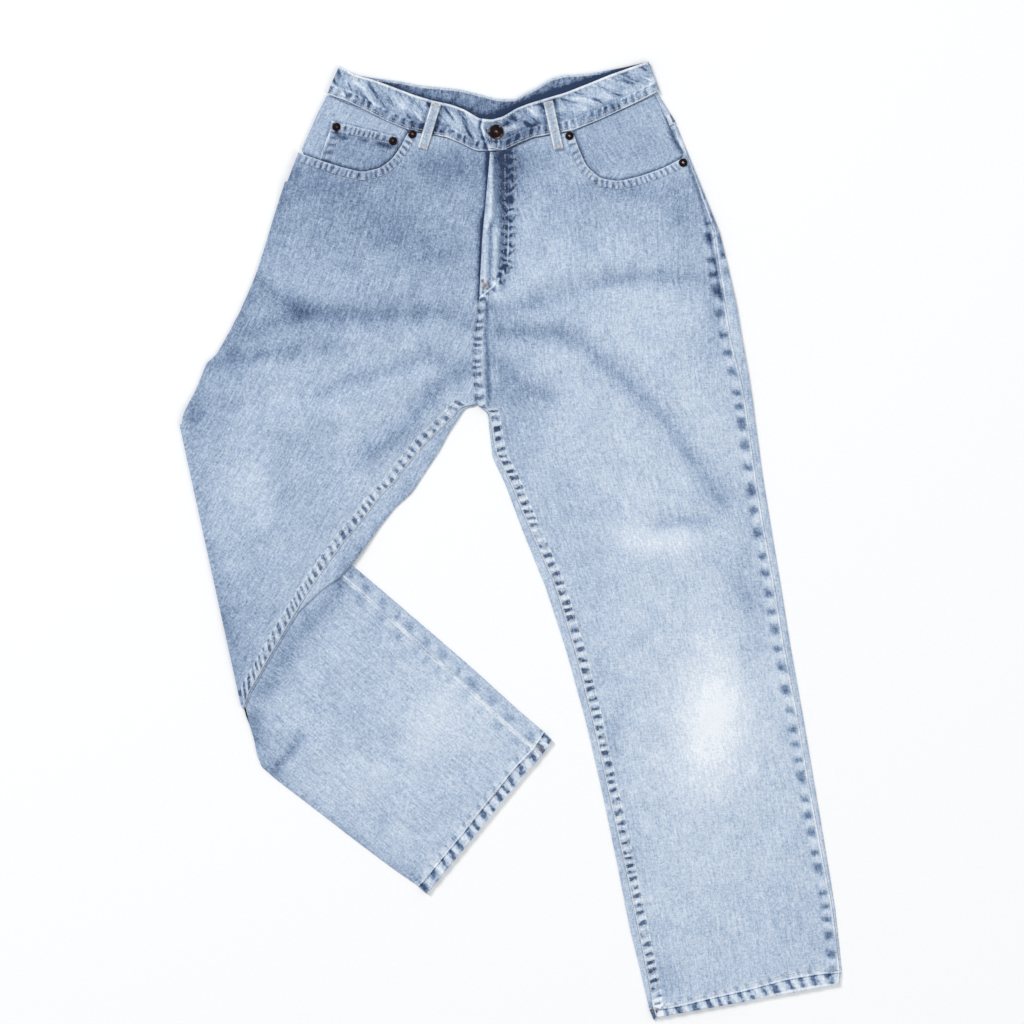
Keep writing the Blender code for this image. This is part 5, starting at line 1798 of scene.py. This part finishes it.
class JEANS_OT_hips(bpy.types.Operator):
    """Makes the yokes, the pocket facings, the coin pocket and the back pockets"""

    bl_idname = "jeans.hips"
    bl_label = "Hip pieces"

    def execute(self, context):
        pitch = context.scene.jeans_cloth.fine_pitch
        for side in ("right", "left"):
            add_cloth(f"yoke_{side}_cloth", yoke_grid(side), f"yoke_{side}", "leg_denim")
        # Node, rows, height it lies at, darkness, height of its upper welt and material
        pieces = (
            ("facing_right", FACING_RIGHT, 2 * LAYER, -0.08, 0.0, "hip_denim"),
            ("facing_left", FACING_LEFT, 2 * LAYER, 0.02, 0.0, "hip_denim"),
            ("coin_pocket", COIN_POCKET, 3 * LAYER, 0.16, 0.0006, "coin_denim"),
            ("back_pocket_right", BACK_POCKET_RIGHT, 0.0, 0.0, 0.0, "leg_denim"),
            ("back_pocket_left", BACK_POCKET_LEFT, 0.0, 0.0, 0.0, "leg_denim"),
        )
        for name, rows, low, shade, welt, material in pieces:
            grid = flat_grid(rows, low, pitch, shade, welt, SHADE_LINES.get(name, ()))
            add_cloth(f"{name}_cloth", grid, name, material)
        return {"FINISHED"}


class JEANS_OT_waistband(bpy.types.Operator):
    """Makes the waistband, swept round the waist with its ends lapped"""

    bl_idname = "jeans.waistband"
    bl_label = "Waistband"

    def execute(self, context):
        grid = band_grid(context.scene.jeans_cloth.fine_pitch)
        add_cloth("waistband_cloth", grid, "waistband", "band_denim")
        return {"FINISHED"}


class JEANS_OT_belt_loops(bpy.types.Operator):
    """Makes the five belt loops that the CAD model has"""

    bl_idname = "jeans.belt_loops"
    bl_label = "Belt loops"

    def execute(self, context):
        for index, (top_x, top_y, end_x, end_y, side) in enumerate(BELT_LOOPS):
            node = f"belt_loop_{index + 1}"
            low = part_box(node)[0][2]
            grid = loop_grid(top_x, top_y, end_x, end_y, low, 1.0 if side == "front" else 0.0)
            add_cloth(f"{node}_cloth", grid, node, "loop_denim")
        return {"FINISHED"}


class JEANS_OT_stitching(bpy.types.Operator):
    """Lays the stitches, the bar-tacks and the buttonhole's thread on the cloth"""

    bl_idname = "jeans.stitching"
    bl_label = "Stitching"

    def execute(self, context):
        looks = context.scene.jeans_thread
        pale, rust = finish_named("seam_thread"), finish_named("tack_thread")
        # Piece, paths, shares of the usual pitch and radius, and seed
        rows = []
        for side in ("right", "left"):
            rows.append((f"inseam_stitches_{side}", inseam_paths(side), 1.0, 1.0, 3))
            rows.append((f"mouth_stitches_{side}", mouth_paths(side), 1.0, 1.0, 5))
        rows += [
            ("hem_stitches", squares_paths("hems"), 1.0, 1.0, 7),
            ("waist_stitches", band_paths(), 1.0, 1.0, 9),
            ("fly_stitches", squares_paths("fly"), 1.0, 0.75, 11),
            ("coin_pocket_stitches", squares_paths("coin"), 1.0, 1.0, 13),
            ("loop_stitches", loop_paths(), 0.8, 0.7, 15),
        ]
        for name, paths, pitch, radius, seed in rows:
            thread_piece(name, paths, pale, looks.pitch * pitch, looks.radius * radius, seed)
        thread_piece("pale_tacks", pale_tacks(), pale, TACK_PITCH, TACK_RADIUS, 17, share=1.0)
        thread_piece("rust_tacks", tack_paths(RUST_TACKS), rust, TACK_PITCH, TACK_RADIUS, 19, share=1.0)
        return {"FINISHED"}


class JEANS_OT_metal(bpy.types.Operator):
    """Makes the waist button and the rivets"""

    bl_idname = "jeans.metal"
    bl_label = "Button and rivets"

    def execute(self, context):
        parts = context.scene.jeans_cloth.round_parts
        pieces = [("button", BUTTON_PROFILE)] + [(row[0], RIVET_PROFILE) for row in RIVETS]
        for node, profile in pieces:
            low, high = (np.array(corner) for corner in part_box(node))
            radius = (high[0] - low[0]) / 2
            centre = (low[:2] + high[:2]) / 2
            verts, quads, tris, radii = turned_grid(centre, low[2], np.array(profile) * radius, parts)
            body = mesh_object(f"{node}_metal", verts, quads, tris)
            tall = (verts[:, 2] - low[2]) / max(verts[:, 2].max() - low[2], 1e-6)
            put_attribute(body, "tone", np.stack([radii / radius, tall, tall], -1))
            finish_piece(body, finish_named("copper_painted_glint"), node)
        return {"FINISHED"}


FLOOR_HALF = 4.0
FLOOR_CELLS = 8
FLOOR_DROP = 0.0002
# Soft lights: place, side, and share of the key light's power
LAMPS = (("key", (-3.2, 3.4, 5.6), 2.6, 1.0), ("rim", (3.9, -2.4, 5.4), 3.0, 0.30))
SKY_COLOUR = (0.97, 0.985, 1.0, 1.0)
SENSOR = 36.0
FAR_CLIP = 60.0


class JEANS_OT_stage(bpy.types.Operator):
    """Makes the floor, the soft lights and the camera straight above"""

    bl_idname = "jeans.stage"
    bl_label = "Stage"

    def execute(self, context):
        scene, looks = context.scene, context.scene.jeans_stage
        side = np.linspace(-FLOOR_HALF, FLOOR_HALF, FLOOR_CELLS + 1)
        x, y = np.meshgrid(side, side, indexing="ij")
        verts = np.stack([x, y, np.zeros_like(x) - FLOOR_DROP], -1).reshape(-1, 3)
        row = FLOOR_CELLS + 1
        k = (np.arange(FLOOR_CELLS)[:, None] * row + np.arange(FLOOR_CELLS)[None]).ravel()
        floor = mesh_object("floor", verts, np.stack([k, k + row, k + row + 1, k + 1], -1))
        floor.data.materials.append(paper_floor("pale_floor", 255 * np.array(looks.floor)))
        centre = plan(*VIEW_CENTRE) - SHIFT
        for name, place, wide, share in LAMPS:
            light = bpy.data.lights.new(name, "AREA")
            light.size, light.energy = wide, looks.key_power * share
            lamp = bpy.data.objects.new(name, light)
            lamp.location = place
            aim = np.array([*centre, 0.0]) - np.array(place)
            lamp.rotation_euler = (math.acos(-aim[2] / np.linalg.norm(aim)), 0, math.atan2(-aim[0], aim[1]))
            scene.collection.objects.link(lamp)
        world = bpy.data.worlds.new("sky")
        world.use_nodes = True
        sky = world.node_tree.nodes["Background"]
        sky.inputs["Color"].default_value = SKY_COLOUR
        sky.inputs["Strength"].default_value = looks.fill
        scene.world = world
        camera = bpy.data.cameras.new("camera")
        camera.sensor_width = SENSOR
        camera.lens = SENSOR * looks.camera_height / (VIEW_SQUARES * SQUARE)
        camera.clip_end = FAR_CLIP
        eye = bpy.data.objects.new("camera", camera)
        eye.location = (centre[0], centre[1], looks.camera_height)
        scene.collection.objects.link(eye)
        scene.camera = eye
        scene.view_settings.view_transform = "Standard"
        return {"FINISHED"}


class JEANS_PT_panel(bpy.types.Panel):
    """The jeans' pieces and their settings"""

    bl_label = "Laid jeans"
    bl_idname = "JEANS_PT_panel"
    bl_space_type = "VIEW_3D"
    bl_region_type = "UI"
    bl_category = "Jeans"

    def draw(self, context):
        for piece in OPERATORS:
            self.layout.operator(piece.bl_idname)
        for key, group in GROUPS.items():
            box = self.layout.box()
            for field in group.__annotations__:
                box.prop(getattr(context.scene, key), field)


OPERATORS = (JEANS_OT_legs, JEANS_OT_hips, JEANS_OT_waistband, JEANS_OT_belt_loops,
             JEANS_OT_stitching, JEANS_OT_metal, JEANS_OT_stage)


def register():
    """Adds the settings, the operators and the panel to Blender."""
    for key, group in GROUPS.items():
        bpy.utils.register_class(group)
        setattr(bpy.types.Scene, key, PointerProperty(type=group))
    for piece in (*OPERATORS, JEANS_PT_panel):
        bpy.utils.register_class(piece)


def unregister():
    """Takes away what register added."""
    for piece in (JEANS_PT_panel, *OPERATORS[::-1]):
        bpy.utils.unregister_class(piece)
    for key, group in GROUPS.items():
        delattr(bpy.types.Scene, key)
        bpy.utils.unregister_class(group)


def main():
    """Makes every piece and the stage."""
    register()
    for piece in OPERATORS:
        step = getattr(bpy.ops.jeans, piece.bl_idname.split(".")[1])
        if step() != {"FINISHED"}:
            raise RuntimeError(f"{piece.bl_label} could not be made")
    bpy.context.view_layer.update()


if __name__ == "__main__":
    main()
